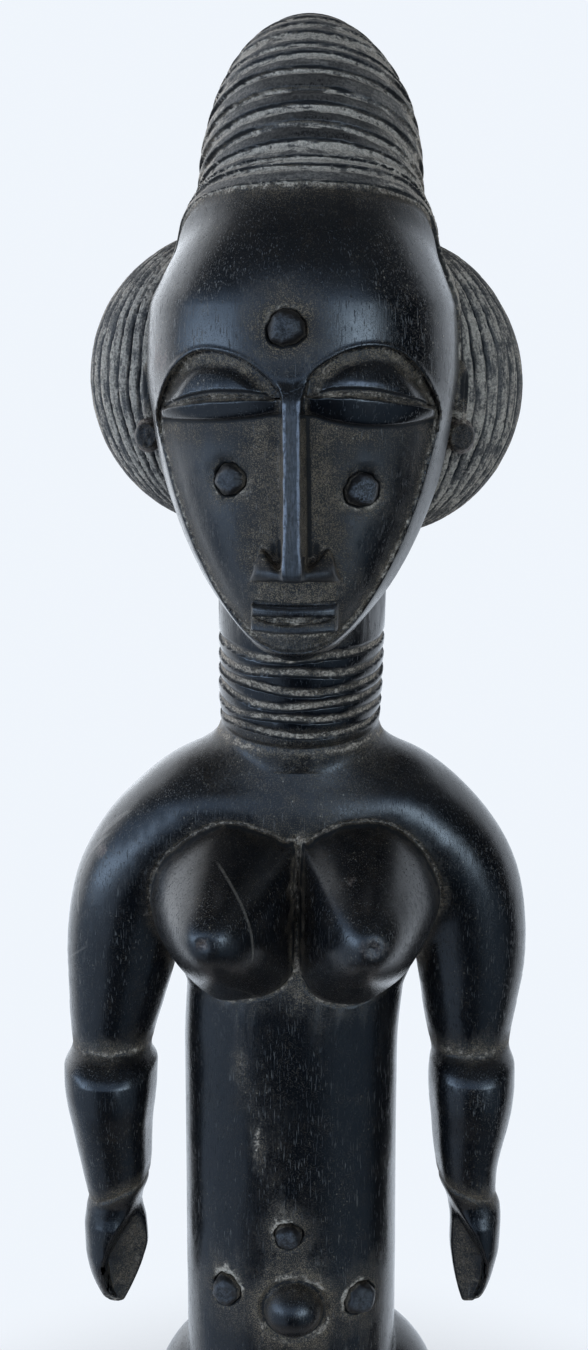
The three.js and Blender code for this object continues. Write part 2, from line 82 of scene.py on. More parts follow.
# grooves round the neck: height at the axis, half-width, depth
NECK_GROOVES = [[318.9, 0.85, 0.6], [315.3, 0.9, 0.66], [311.6, 0.85, 0.7], [308.2, 0.8, 0.66],
                [304.9, 0.8, 0.62], [301.4, 0.8, 0.62]]
NECK_RADIUS, NECK_TILT = 18.5, 0.1655
BUN_AT, BUN_HALF = (15.8, -0.7, 14.0, 373.5), (33.5, 19.4, 33.6)
BUN_SHIFT = (-0.7, -1.7)   # the right bun sits a little lower and closer in
HAIRLINE = [[-40, 411], [-29, 411.8], [-16, 409], [-8, 402], [-4, 392], [-2, 378],
            [0, 352], [6, 338], [14, 332]]   # y, height
# the face inside its rim: brow and jaw line, x and height, each side
FACE_RIGHT = [[0, 372.2], [2.2, 373.4], [4.4, 376], [7.6, 378.2], [11.5, 379.9], [16, 380.5], [20.4, 379.6],
              [24, 376.8], [26.9, 372.6], [28.7, 368.2], [28.2, 364], [26.6, 357.4], [24.6, 350.2], [21.6, 342],
              [17.4, 333.4], [12.9, 326.2], [8.4, 321.9], [4.2, 320.1], [0, 319.7]]
FACE_LEFT = [[0, 372.2], [-2.3, 371.8], [-5.2, 374.8], [-8.6, 377.4], [-12.6, 379.1], [-17.4, 379.8], [-21.4, 378.7],
             [-25, 375.6], [-27.7, 371.2], [-29.2, 366.8], [-28.6, 363], [-27, 356.6], [-25, 349.8], [-22.1, 341.8],
             [-17.8, 333.2], [-13.2, 326.2], [-8.6, 322], [-4.2, 320.1], [0, 319.7]]
# eye slit: x, height of its middle, half-gap, foot of the lower lid
EYE_LEFT = [[-28.6, 368.2, 0.1, 366.2], [-25, 369.3, 0.35, 366.15], [-20, 370.5, 0.62, 366.2], [-15.3, 371.1, 0.72, 366.3],
            [-10, 371.2, 0.6, 366.7], [-6, 371, 0.4, 367.2], [-3.2, 370.5, 0.1, 367.6]]
EYE_RIGHT = [[3.6, 371, 0.1, 367.4], [7, 371.7, 0.45, 366.4], [11, 371.8, 0.6, 365.6], [15.4, 371.5, 0.7, 365.2],
             [20, 370.7, 0.6, 365.3], [24.5, 369.7, 0.35, 365.8], [28, 368.6, 0.1, 366.4]]
# breast outline on the chest, x and height, each side
CHEST_LEFT = [[-0.55, 272.6], [-3.2, 274.4], [-6.6, 276.1], [-13.1, 278.1], [-17.4, 277.9], [-21.7, 276.1], [-26.8, 272.5],
              [-31.1, 268.0], [-33.1, 262.0], [-32.9, 257.4], [-31.6, 252.8], [-29.0, 248.6], [-25.3, 243.9], [-21.6, 240.2],
              [-17.2, 237.6], [-11.4, 238.1], [-6.6, 239.5], [-3.1, 241.6], [-0.9, 244.6], [-0.55, 249]]
CHEST_RIGHT = [[0.25, 272.6], [2.0, 274.3], [4.1, 275.9], [7.5, 277.5], [10.9, 278.4], [17.0, 278.4], [22.6, 276.1],
               [27.6, 271.2], [30.8, 265.2], [31.9, 260.2], [30.4, 254.2], [26.7, 247.2], [23.7, 243.0], [19.4, 239.7],
               [15.9, 237.4], [11.5, 236.9], [7.1, 237.8], [4.0, 239.4], [1.6, 242.8], [0.3, 248]]
TEAT = [[-20, 259.9], [15.4, 259.5]]
PEGS = [  # name, on the head, x, y, height, turn, tilt, radii, rise, sides
    ["peg_forehead", True, -1.2, -38.1, 384, -2, 4, 3.6, 3.4, 2.4, 9],
    ["peg_cheek_left", True, -13, -32.4, 354.6, -24, -2, 3.2, 3.15, 1.9, 8],
    ["peg_cheek_right", True, 13.5, -32.2, 352.7, 24, -2, 3.5, 3.3, 2.1, 9],
    ["peg_belly_top", False, -0.6, -21.4, 180.2, -2, 0, 3.2, 2.9, 1.9, 7],
    ["peg_belly_left", False, -15.2, -19.2, 165.1, -28, 0, 3.3, 3.9, 1.8, 8],
    ["peg_belly_right", False, 16.4, -18.8, 162.6, 28, 0, 3.9, 3.8, 1.9, 9]]
TURN = math.radians(4.3)   # the head looks a little to one side
NAVEL = (0.6, -20.6, 161.6, 6.9)


# ---- small field tools --------------------------------------------------
def smin(a, b, k):
    h = np.maximum(k - np.abs(a - b), 0) / k
    return np.minimum(a, b) - h * h * (k * 0.25)


def smax(a, b, k):
    return -smin(-a, -b, k)


def step(a, b, x):
    t = np.clip((x - a) / (b - a), 0, 1)
    return t * t * (3 - 2 * t)


def bell(x, w):
    return np.exp(-(x / w) ** 2)


class Rows:
    """A table [t, a, b, ...] read smoothly, with the slope of each column."""

    def __init__(self, rows, count=900):
        r = np.array(rows, float)
        t, v = r[:, 0], r[:, 1:]
        h = np.diff(t)[:, None]
        s = np.diff(v, axis=0) / h
        m = np.zeros_like(v)
        a, b = s[:-1], s[1:]
        with np.errstate(divide="ignore", invalid="ignore"):
            m[1:-1] = np.where(a * b > 0, 2 * a * b / (a + b), 0)
        x = np.linspace(t[0], t[-1], count)
        i = np.clip(np.searchsorted(t, x, side="right") - 1, 0, len(t) - 2)
        u = ((x - t[i]) / h[i, 0])[:, None]
        y = (v[i] * (1 + 2 * u) * (1 - u) ** 2 + v[i + 1] * u * u * (3 - 2 * u)
             + h[i] * (m[i] * u * (1 - u) ** 2 - m[i + 1] * u * u * (1 - u)))
        self.low, self.high, self.n = t[0], t[-1], count
        self.y = np.concatenate([y, np.gradient(y, x, axis=0)], axis=1).astype(np.float32)

    def __call__(self, x):
        u = np.clip((x - self.low) * ((self.n - 1) / (self.high - self.low)), 0, self.n - 1.002)
        i = u.astype(np.int32)
        f = (u - i)[:, None]
        a = self.y[i]
        return (a + (self.y[i + 1] - a) * f).T


class Noise:
    """Smooth seeded noise, about -1 to 1, that repeats after 32 steps."""

    def __init__(self, seed):
        self.t = np.random.default_rng(seed).uniform(-1, 1, 32 ** 3).astype(np.float32)

    def __call__(self, x, y, z):
        xi, yi, zi = np.floor(x), np.floor(y), np.floor(z)
        u, v, w = x - xi, y - yi, z - zi
        u, v, w = u * u * (3 - 2 * u), v * v * (3 - 2 * v), w * w * (3 - 2 * w)
        xi, yi, zi = xi.astype(np.int32) & 31, yi.astype(np.int32) & 31, zi.astype(np.int32) & 31
        x1, y1, z1 = (xi + 1) & 31, (yi + 1) & 31, (zi + 1) & 31
        t = self.t

        def at(a, b, c):
            return t[(a * 32 + b) * 32 + c]
        low = (at(xi, yi, zi) * (1 - u) + at(x1, yi, zi) * u) * (1 - v) + (at(xi, y1, zi) * (1 - u) + at(x1, y1, zi) * u) * v
        top = (at(xi, yi, z1) * (1 - u) + at(x1, yi, z1) * u) * (1 - v) + (at(xi, y1, z1) * (1 - u) + at(x1, y1, z1) * u) * v
        return low * (1 - w) + top * w


noise = Noise(7)


class Sheet:
    """Columns of numbers on a flat grid, read between its points."""

    def __init__(self, lo, hi, size, cols):
        self.lo, self.hi = lo, hi
        self.size = size
        self.cols = np.ascontiguousarray(np.stack([c.ravel() for c in cols], axis=1).astype(np.float32))

    def __call__(self, x, z):
        nx, nz = self.size
        u = np.clip((x - self.lo[0]) * ((nx - 1) / (self.hi[0] - self.lo[0])), 0, nx - 1.002)
        v = np.clip((z - self.lo[1]) * ((nz - 1) / (self.hi[1] - self.lo[1])), 0, nz - 1.002)
        i, j = u.astype(np.int32), v.astype(np.int32)
        u, v = (u - i)[:, None], (v - j)[:, None]
        k = i * nz + j
        c = self.cols
        return ((c[k] * (1 - v) + c[k + 1] * v) * (1 - u) + (c[k + nz] * (1 - v) + c[k + nz + 1] * v) * u).T


def smooth_line(points, closed, per=8):
    p = np.array(points, float)
    n = len(p)
    out = []
    for i in range(n if closed else n - 1):
        a, b, c, d = [p[j % n] if closed else p[min(max(j, 0), n - 1)] for j in (i - 1, i, i + 1, i + 2)]
        for k in range(per):
            t = k / per
            out.append(0.5 * (2 * b + (c - a) * t + (2 * a - 5 * b + 4 * c - d) * t * t + (3 * b - a - 3 * c + d) * t ** 3))
    if not closed:
        out.append(p[-1])
    return np.array(out)


def line_distance(x, z, line, closed):
    """Distance to a polyline, and which side (negative inside, when it is closed)."""
    a = line
    b = np.roll(line, -1, axis=0)
    if not closed:
        a, b = line[:-1], line[1:]
    best = np.full(x.shape, 1e9)
    inside = np.zeros(x.shape, bool)
    for (ax, az), (bx, bz) in zip(a, b):
        dx, dz = bx - ax, bz - az
        t = np.clip(((x - ax) * dx + (z - az) * dz) / max(dx * dx + dz * dz, 1e-12), 0, 1)
        best = np.minimum(best, (x - ax - t * dx) ** 2 + (z - az - t * dz) ** 2)
        cross = ((az > z) != (bz > z)) & (x < dx * (z - az) / (dz if abs(dz) > 1e-9 else 1e-9) + ax)
        inside ^= cross
    d = np.sqrt(best)
    return np.where(inside, -d, d) if closed else d


def grid(lo, hi, pitch):
    nx, nz = int((hi[0] - lo[0]) / pitch) + 1, int((hi[1] - lo[1]) / pitch) + 1
    x, z = np.meshgrid(np.linspace(lo[0], hi[0], nx), np.linspace(lo[1], hi[1], nz), indexing="ij")
    return x, z, (nx, nz)


def section(dx, dy, w, d, n, ws, ds, cxs=0.0, cys=0.0):
    """Distance to a stack of rounded sections, near its surface."""
    ax, ay = np.abs(dx) / w, np.abs(dy) / d
    an, bn = ax ** n, ay ** n
    s = np.maximum(an + bn, 1e-6)
    r = s ** (1 / n)
    g = r / s
    gx, gy = g * an / np.maximum(ax, 1e-4) / w, g * bn / np.maximum(ay, 1e-4) / d
    gz = g * (an * ws / w + bn * ds / d) + np.sign(dx) * gx * cxs + np.sign(dy) * gy * cys
    return (r - 1) / np.sqrt(gx * gx + gy * gy + gz * gz + 1e-8)


def egg(dx, dy, dz, hx, hy, hz):
    k0 = np.sqrt((dx / hx) ** 2 + (dy / hy) ** 2 + (dz / hz) ** 2)
    k1 = np.sqrt((dx / hx ** 2) ** 2 + (dy / hy ** 2) ** 2 + (dz / hz ** 2) ** 2)
    return k0 * (k0 - 1) / np.maximum(k1, 1e-6)


# ---- tables made once ---------------------------------------------------
sway_of = Rows(SWAY)
leg_of, torso_of, head_of, nose_of = Rows(LEG), Rows(TORSO), Rows(HEAD), Rows(NOSE)
forearm_front, forearm_side = Rows(FOREARM_FRONT), Rows(FOREARM_SIDE)
crest_of = Rows(CREST)
HAND_RIDGE = Rows([[150, 42.2, 42.4, 38], [156.4, 43.7, 43.9, 38], [160, 44.4, 44.9, 36.6], [164.2, 44.7, 45.5, 35.4],
                   [168, 43, 45, 34.8], [173.2, 40.2, 43.2, 35], [178.4, 37.5, 40.6, 36], [185.2, 34.8, 37.4, 33],
                   [190, 33.0, 34.8, 31], [194, 31, 32, 30]])


def make_arch():
    p = np.array([[-x, z, a, b] for x, z, a, b in ARCH[:0:-1]] + ARCH, float)
    line = smooth_line(p, False, 24)
    x, z, size = grid((0, 196), (62, 302), 0.5)
    best = np.full(x.shape, 1e9)
    k = np.zeros(x.shape, int)
    for i, (px, pz, _, _) in enumerate(line):
        d = (x - px) ** 2 + (z - pz) ** 2
        m = d < best
        best[m] = d[m]
        k[m] = i
    return Sheet((0, 196), (62, 302), size, [np.sqrt(best), line[k, 2], line[k, 3]])


def make_face():
    line = smooth_line(FACE_RIGHT, False, 6)
    left = smooth_line(FACE_LEFT, False, 6)
    ring = np.concatenate([line[:-1], left[::-1][:-1]])
    x, z, size = grid((-36, 312), (36, 390), 0.25)
    e = line_distance(x, z, ring, True)
    return Sheet((-36, 312), (36, 390), size, [e])


def make_hairline():
    line = np.array([[-60, 410]] + [list(p) for p in smooth_line(HAIRLINE, False, 6)] + [[30, 328], [60, 328], [60, 480], [-60, 480]])
    y, z, size = grid((-50, 320), (40, 420), 0.5)
    return Sheet((-50, 320), (40, 420), size, [-line_distance(y, z, line, True)])


def make_chest():
    x, z, size = grid((-40, 228), (42, 290), 0.25)
    e, hs = [], []
    for pts, (tx, tz) in zip((CHEST_LEFT, CHEST_RIGHT), TEAT):
        ring = smooth_line(pts, True, 5)
        d = line_distance(x, z, ring, True)
        turn = np.arctan2(ring[:, 1] - tz, ring[:, 0] - tx)
        order = np.argsort(turn)
        reach = np.interp(np.arctan2(z - tz, x - tx), turn[order], np.hypot(ring[:, 0] - tx, ring[:, 1] - tz)[order], period=2 * np.pi)
        # the reach in each direction, with its corners smoothed away from the rim
        t = np.linspace(-np.pi, np.pi, 361)[:-1]
        even = np.interp(t, turn[order], np.hypot(ring[:, 0] - tx, ring[:, 1] - tz)[order], period=2 * np.pi)
        g = np.exp(-(np.arange(-90, 91) / 42.0) ** 2)
        soft = np.convolve(np.concatenate([even[-90:], even, even[:90]]), g / g.sum(), "valid")
        soft = np.interp(np.arctan2(z - tz, x - tx), t, soft, period=2 * np.pi)
        r = np.hypot(x - tx, z - tz)
        near = np.clip(r / reach, 0, 1)
        mix = near ** 5
        rho = mix * (r / reach) + (1 - mix) * (r / soft)
        rho = np.clip(rho, 0, 1)
        # a full cone: steep at the rim, straighter towards its blunt tip
        tip = np.sqrt(rho * rho + 0.13 ** 2)
        h = 1.0 * step(0, -0.9, d) + 21.5 * (1 - tip) / (1 - 0.13) + 4.6 * np.sin(np.pi * rho ** 0.85) ** 0.85
        e.append(d)
        hs.append(h)
    d = np.where(e[0] < e[1], e[0], e[1])
    h = np.where(e[0] < e[1], hs[0], hs[1])
    base = np.interp(z, [232, 240, 258, 270, 279, 288], [20.6, 20.6, 20.4, 19.6, 17.6, 15.6]) - (x - 1) ** 2 / 190
    front = -(base + h)
    k = np.array([1, 2, 3, 2, 1.]) / 9
    for _ in range(2):
        front = np.apply_along_axis(lambda q: np.convolve(np.pad(q, 2, mode="edge"), k, "valid"), 0, front)
        front = np.apply_along_axis(lambda q: np.convolve(np.pad(q, 2, mode="edge"), k, "valid"), 1, front)
    gx, gz = np.gradient(front, 0.25)
    return Sheet((-40, 228), (42, 290), size, [d, front, 1 / np.sqrt(1 + gx ** 2 + gz ** 2)])


arch_of, face_of, hair_of, chest_of = make_arch(), make_face(), make_hairline(), make_chest()
eye_left, eye_right = Rows(EYE_LEFT), Rows(EYE_RIGHT)


def to_head(x, y, z):
    c, s = math.cos(TURN), math.sin(TURN)
    return c * x - s * (y + 8), s * x + c * (y + 8) - 8


def peg_axes(peg):
    t, l = math.radians(peg[5]), math.radians(peg[6])
    out = np.array([math.sin(t) * math.cos(l), -math.cos(t) * math.cos(l), math.sin(l)])
    side = np.array([math.cos(t), math.sin(t), 0.0])
    up = np.cross(side, -out)
    return side, up, out


def peg_coords(peg, x, y, z):
    s, u, o = peg_axes(peg)
    dx, dy, dz = x - peg[2], y - peg[3], z - peg[4]
    return dx * s[0] + dy * s[1] + dz * s[2], dx * u[0] + dy * u[1] + dz * u[2], dx * o[0] + dy * o[1] + dz * o[2]


def peg_radius(peg, a, loose=0.0):
    """Outline of a whittled peg: flats between rounded corners."""
    n = peg[10]
    c = 1 - 0.045 * np.abs(np.sin(n * (a - 0.35) / 2)) ** 1.3 + 0.05 * np.sin(3 * a + n) + 0.03 * np.sin(2 * a + 0.7 * n)
    return c / np.sqrt((np.cos(a) / (peg[7] + loose)) ** 2 + (np.sin(a) / (peg[8] + loose)) ** 2)


def sockets(d, x, y, z, on_head):
    for peg in PEGS:
        if peg[1] != on_head:
            continue
        m = np.flatnonzero((np.abs(x - peg[2]) < 9) & (np.abs(z - peg[4]) < 9) & (np.abs(y - peg[3]) < 9))
        if not len(m):
            continue
        u, v, w = peg_coords(peg, x[m], y[m], z[m])
        r, a = np.hypot(u, v), np.arctan2(v, u)
        ragged = 0.16 * np.sin(5 * a + peg[10]) + 0.14 * np.sin(9 * a + 2 * peg[10]) + 0.1 * np.sin(14 * a + 1)
        edge = peg_radius(peg, a, 0.3) + (ragged if not on_head else 0.5 * ragged) * step(-1.6, 0.4, w)
        hole = np.maximum((r - edge) * 0.95, -1.9 - w)
        dish = 0.35 * bell(r - edge - 0.2, 1.3) if on_head else 0.12 * bell(r - edge - 0.3, 0.8)
        d[m] = smax(d[m] + dish, -hole, 0.55)
    return d


# ---- body ---------------------------------------------------------------
def body(x, y, z):
    d = np.full(x.shape, 60.0, x.dtype)

    def put(mask, make, k):
        i = np.flatnonzero(mask)
        if len(i):
            v = make(x[i], y[i], z[i])
            d[i] = smin(d[i], v, k) if k else np.minimum(d[i], v)

    ax = np.abs(x)
    # torso
    def torso(x, y, z):
        w, f, b, n, ws, fs, bs, _ = torso_of(z)
        front = y < 0
        v = section(x, y, w, np.where(front, f, b), n, -ws, -np.where(front, fs, bs))
        spine = bell(x - 0.4, 2.6) * step(0, 8, y) * step(128, 146, z) * (1 - step(262, 280, z))
        v = v + 0.75 * spine + 0.10 * noise(x * 0.13, y * 0.13, z * 0.05) + 0.03 * noise(x * 0.5, y * 0.5, z * 0.12)
        return np.maximum(v, 118 - z)
    put((z > 104) & (z < 300) & (ax < 46), torso, 0)

    # hips, with a hollow down the back
    def hips(x, y, z):
        dx, dy, dz = x - 1.5, y - 4.5, z - 115
        dd = np.where(dy < 0, 25 * 0.86, 25.0)
        dh = np.where(dz > 0, 31.0, 25.0)
        q = (np.abs(dx / 36.5) ** 2.2 + np.abs(dy / dd) ** 2.2) ** (2.3 / 2.2) + np.abs(dz / dh) ** 2.3
        r = q ** (1 / 2.3)
        k1 = np.sqrt((dx / 36.5 ** 2) ** 2 + (dy / dd ** 2) ** 2 + (dz / dh ** 2) ** 2)
        v = r * (r - 1) / np.maximum(k1, 1e-5)
        v = v + 2.6 * bell(x - 0.4, 3.2) * step(8, 20, y) * (1 - step(118, 140, z))
        v = v + 0.1 * noise(x * 0.12, y * 0.12, z * 0.1)
        return v
    i = np.flatnonzero((z > 76) & (z < 160) & (ax < 54))
    if len(i):
        v = hips(x[i], y[i], z[i])
        d[i] = smin(d[i], v, 1.1)

    # legs and feet
    def leg(x, y, z):
        cx, cy, w, dp, cxs, cys, ws, dps = leg_of(z)
        u = np.abs(x)
        v = section(u - cx, y - cy, w, dp, 2.1, -ws, -dps, -cxs, -cys)
        knee = bell(z - 75.6, 2.3)
        v = v + 0.25 * knee + 0.08 * noise(x * 0.15, y * 0.15, z * 0.08)
        return np.maximum(v, np.maximum(15 - z, z - 126))
    put((z > 4) & (z < 134) & (ax < 48), leg, 3.5)

    def foot(x, y, z):
        u = np.abs(x)
        v = egg(u - 17.5, y + 7, z - 19, 9.2, 17.5, 10.5)
        v = smin(v, egg(u - 17.6, y + 16, z - 19.6, 9.6, 9.6, 5.4), 3)
        toes = (u - 17.5) / 3.7
        cut = np.abs(toes - np.round(toes - 0.5) - 0.5)
        v = v + 0.9 * bell(cut * 3.7, 0.55) * step(-17, -21, y) * step(18.4, 20, z)
        return np.maximum(v, 15 - z)
    put((z > 6) & (z < 42) & (ax < 38), foot, 2.2)

    def base(x, y, z):
        r = np.hypot(x, y)
        r = r + 0.18 * np.sin(3 * np.arctan2(y, x) + 1) + 0.12 * noise(x * 0.2, y * 0.2, z * 0.25)
        e = 2.0
        qx, qz = r - 43.9 + e, np.abs(z - 9) - 9 + e
        v = np.minimum(np.maximum(qx, qz), 0) + np.hypot(np.maximum(qx, 0), np.maximum(qz, 0)) - e
        low = np.maximum(r - 43.9, -z)
        return np.where(z < 9, np.maximum(np.maximum(r - 43.9, -z), (r - 43.9 - z + 1.0) * 0.707), v)
    put(z < 30, base, 0.8)

    # shoulders and upper arms
    def arch(x, y, z):
        q, a, b = arch_of(np.abs(x), z)
        r = np.sqrt((q / a) ** 2 + (y / b) ** 2)
        g = np.sqrt((q / a ** 2) ** 2 + (y / b ** 2) ** 2) / np.maximum(r, 1e-4)
        v = (r - 1) / np.maximum(g, 1e-4)
        v = v + 0.07 * noise(x * 0.14, y * 0.14, z * 0.08)
        return np.maximum(v, 206 - z)
    i = np.flatnonzero((z > 196) & (z < 306))
    if len(i):
        v = arch(x[i], y[i], z[i])
        k = 1.2 + 6.5 * step(238, 262, z[i])
        d[i] = smin(d[i], v, k)

    # chest: breasts inside one heart-shaped line
    def chest(x, y, z, old):
        e, front, c = chest_of(x, z)
        v = smax((front - y) * c, e * 0.95, 0.5)
        v = np.maximum(v, y + 6)
        line = 0.42 * bell(e - 0.15, 0.42) * step(-6, -10, y)
        return np.minimum(old + line, v)
    i = np.flatnonzero((z > 226) & (z < 292) & (y < 2) & (ax < 46))
    if len(i):
        d[i] = chest(x[i], y[i], z[i], d[i])

    # forearms and hands
    def forearm(x, y, z):
        f = forearm_front(z)
        cy, dp, cys, dps = forearm_side(z)
        left = x < 0
        cx, w, cxs, ws = (np.where(left, f[k], f[k + 2]) for k in (0, 1, 4, 5))
        k = np.where(left, 1.05, 0.97)
        u = np.abs(x)
        v = section(u - cx, y - cy, w, dp * k, 2.15, -ws, -dps * k, -cxs, -cys)
        v = v + 0.06 * noise(x * 0.2, y * 0.2, z * 0.07)
        # flat strip down the inner side
        v = smax(v, (cx - w + 0.35 - u) * 0.97 + (y + 4) * -0.2, 0.5)
        # wrist line
        v = v + 0.5 * bell(z - wrist_line(u), 0.55) * step(2, -4, y)
        v = smax(np.maximum(v, 150.4 - z), z - 219.4, 1.6)
        # the folded palm: a flat blade beside the rounded back of the hand
        ur, ue, ui, urs, ues, _ = HAND_RIDGE(z)
        near = np.where(left, -0.35, 1.6) * step(187, 178, z)
        ur, ue, ui = ur + near, ue + near, ui + near
        ui = np.minimum(ui, ur - 0.5)
        low = np.interp(z, [150, 158, 170, 182, 192], [-5.0, -5.6, -5.8, -6.4, -8.5]).astype(z.dtype)
        s1 = (low + 3.6) / (ur - ui)
        s2 = (-12.4 - low) / np.maximum(ue - ur, 0.9)
        yl = np.where(u < ur, -3.6 + (u - ui) * s1, low + (u - ur) * s2)
        sl = np.where(u < ur, s1, s2)
        zs = np.where(u < ur, 0, -sl * urs)
        cut = (yl - y) / np.sqrt(1 + sl * sl + zs * zs)
        v = np.where(z < 195, smax(v, cut, 0.6), v)
        # rough sawn tip
        tip = -0.72 * (y + 8.3) - 0.69 * (z - 156.4)
        v = smax(v, tip + 0.12 * noise(x * 1.3, y * 1.3, z * 1.3), 0.25)
        return v
    i = np.flatnonzero((z > 142) & (z < 227) & (ax > 22))
    if len(i):
        v = forearm(x[i], y[i], z[i])
        d[i] = smin(d[i], v, 0.9)

    # navel boss in its ring
    nx, ny, nz, nr = NAVEL
    i = np.flatnonzero((np.abs(x - nx) < 18) & (np.abs(z - nz) < 18) & (y < -6) & (y > -40))
    if len(i):
        r = np.hypot(x[i] - nx, z[i] - nz)
        ragged = 0.25 * noise(x[i] * 0.9, y[i] * 0.2, z[i] * 0.9)
        v = d[i] + 0.55 * bell(r - 7.55, 0.6) - 0.22 * bell(r - 8.6 + ragged, 0.5) + 0.12 * ragged * bell(r - 8.4, 0.9)
        b = egg(x[i] - nx, y[i] - ny, z[i] - nz, nr, 6.4, nr)
        d[i] = np.minimum(v, b)
    d = sockets(d, x, y, z, False)
    return d


def ring_profile(t, w, depth, sharp_up):
    """One carved ring: a dusty floor of half-width w with one sharp lip and one soft side."""
    if not sharp_up:
        t = -t
    # t > 0 is the soft side, the sharp lip is at t = -w
    lip = step(-w - 0.24, -w + 0.16, t)
    soft = 1 - step(-w * 0.2, w * 1.9, t)
    return depth * lip * soft - 0.10 * depth * bell(t + w + 0.5, 0.5)


def neck_rings(x, y, z):
    """Where each ring's groove is: its shifted height and depth, one pair a groove."""
    yc = 1.5 - (z - 292) * (4 / 26)
    a = np.arctan2(x, -(y - yc))
    s = z - (y - yc) * NECK_TILT
    for k, (g, w, dep) in enumerate(NECK_GROOVES):
        wob = 0.34 * np.sin(a * (2 + k % 2) + 1.9 * k) + 0.2 * np.sin(5 * a + 2.3 * k) + 0.1 * noise(x * 0.35, y * 0.35, z * 0 + k * 3.1)
        yield s - g - wob, w, dep * (0.86 + 0.2 * np.sin(3 * a + 2 * k))


def neck(x, y, z):
    yc = 1.5 - (z - 292) * (4 / 26)
    s = z - (y - yc) * NECK_TILT
    r = np.hypot(x, (y - yc) * 0.99)
    rad = NECK_RADIUS - 0.5 * step(306, 296, s)
    v = r - rad
    for t, w, dep in neck_rings(x, y, z):
        v = v + ring_profile(t, w, dep, True)
    v = v + 0.5 * bell(s - 298.0, 0.7)
    # it runs out into the back
    v = smax(v * 0.97, (287.5 + 0.6 * (y - yc) - z) * 0.8, 3.0)
    # and its top slopes into the nape
    v = smax(v, (z - 346 + 0.9 * (y - 2)) * 0.7, 3.0)
    return np.maximum(v, np.maximum(290 - z, z - 341.5))


def crest_coords(x, y, z):
    c, s = math.cos(CREST_LEAN), math.sin(CREST_LEAN)
    dy, dz = y - CREST_AT[0], z - CREST_AT[1]
    return x, dy * c - dz * s, dz * c + dy * s


def ring_height(x, y, z):
    """Angle round the crest, and the height its rings follow: level in front, lower behind,
    and along the hairline at the foot."""
    u, v, s = crest_coords(x, y, z)
    a = np.arctan2(u, -v)
    r = np.hypot(u, v)
    high = s + 0.2 * (r + v)
    low = 0.1 + 0.95 * hair_of(y, z)[0]
    w = step(9.5, 3.5, low)
    return a, r, s, low * w + high * (1 - w), low


def crest_relief(a, s, marks=False):
    """Carved depth of the crest's lapped ridges; also, when asked, its dusty floors and the line under each lip where
    shade is painted.
    """
    depth = np.zeros_like(s)
    floor = np.zeros_like(s)
    edge = np.zeros_like(s)
    sa, ca = np.sin(a), np.cos(a)
    flat = a * 0
    for k, (g, w, dep) in enumerate(CREST_GROOVES):
        n1 = noise(sa * 1.6 + 3.7 * k, ca * 1.6 + 1.3 * k, flat + 0.5 * k)
        n2 = noise(sa * 4.5 + 1.1 * k, ca * 4.5 + 2.9 * k, flat + 1.5 * k)
        n3 = noise(sa * 13 + 1.7 * k, ca * 13 + 2.3 * k, flat + 2.5 * k)
        shift = (0.36 * n1 + 0.24 * n2 + 0.10 * n3) * (0.45 if g > 33 or g < 6 else 1.0)
        t = s - g - shift
        dd = dep * np.clip(1.0 + 0.35 * n2 + 0.3 * n1, 0.45, 1.45)
        lip = step(w + 0.26, w - 0.14, t)
        soft = 1 - step(w * 0.1, -w * 1.9, t)
        depth += dd * (lip * soft - 0.12 * bell(t - w - 0.6, 0.55))
        if marks:
            n4 = noise(sa * 30 + 2.1 * k, ca * 30 + 0.3 * k, flat + 3.5 * k)
            low = w * (0.95 + 0.55 * n1 + 0.35 * n2 + 0.3 * n4)
            floor = np.maximum(floor, step(w + 0.12, w - 0.16, t) * step(-low - 0.55, -low + 0.25, t) * np.clip(0.9 + 0.6 * n2 + 0.3 * n4, 0.25, 1))
            edge = np.maximum(edge, bell(t - w - 0.16, 0.26) * np.clip(0.8 + 0.6 * n2, 0.2, 1))
    return (depth, floor, edge) if marks else (depth, floor)


def crest(x, y, z):
    a, r, s, ring, _ = ring_height(x, y, z)
    rad, slope = crest_of(s)
    depth, _ = crest_relief(a, ring)
    rad = rad + 0.16 * noise(np.sin(a) * 2 + 9, np.cos(a) * 2, s * 0.12)
    side = (r - rad + depth) / np.sqrt(1 + slope * slope)
    # rounded top
    top = s - 48.3
    return smax(side, np.maximum(top, -12 - s), 0.6)


def bun_ridges(a, t, side, x, y, z):
    """Carved depth across a bun: grooves run from pole to pole."""
    wave = 0.16 * noise(z * 0.10 + 11 * side, a * 2.2, z * 0 + 2.0) + 0.10 * noise(z * 0.26, a * 5 + 4, z * 0 + side)
    n = 3.9 * a + 3.3 * np.sign(a) * a * a + wave + 0.5
    f = n - np.floor(n)
    cut = np.minimum(f, 1 - f)
    pitch = 1 / (3.9 + 6.6 * np.abs(a))                      # radians a ridge
    mm = cut * pitch * (19.4 + 12 * np.abs(np.sin(a)))
    deep = np.clip(0.72 + 0.5 * noise(a * 6 + 5, z * 0.14, z * 0 + 3 * side), 0.15, 1.0)
    lap = (f - 0.5) * 0.22
    return (0.85 * deep * bell(mm, 0.46) + lap * 1.1 - 0.05), np.clip(1.25 * deep * bell(mm, 0.42), 0, 1), f


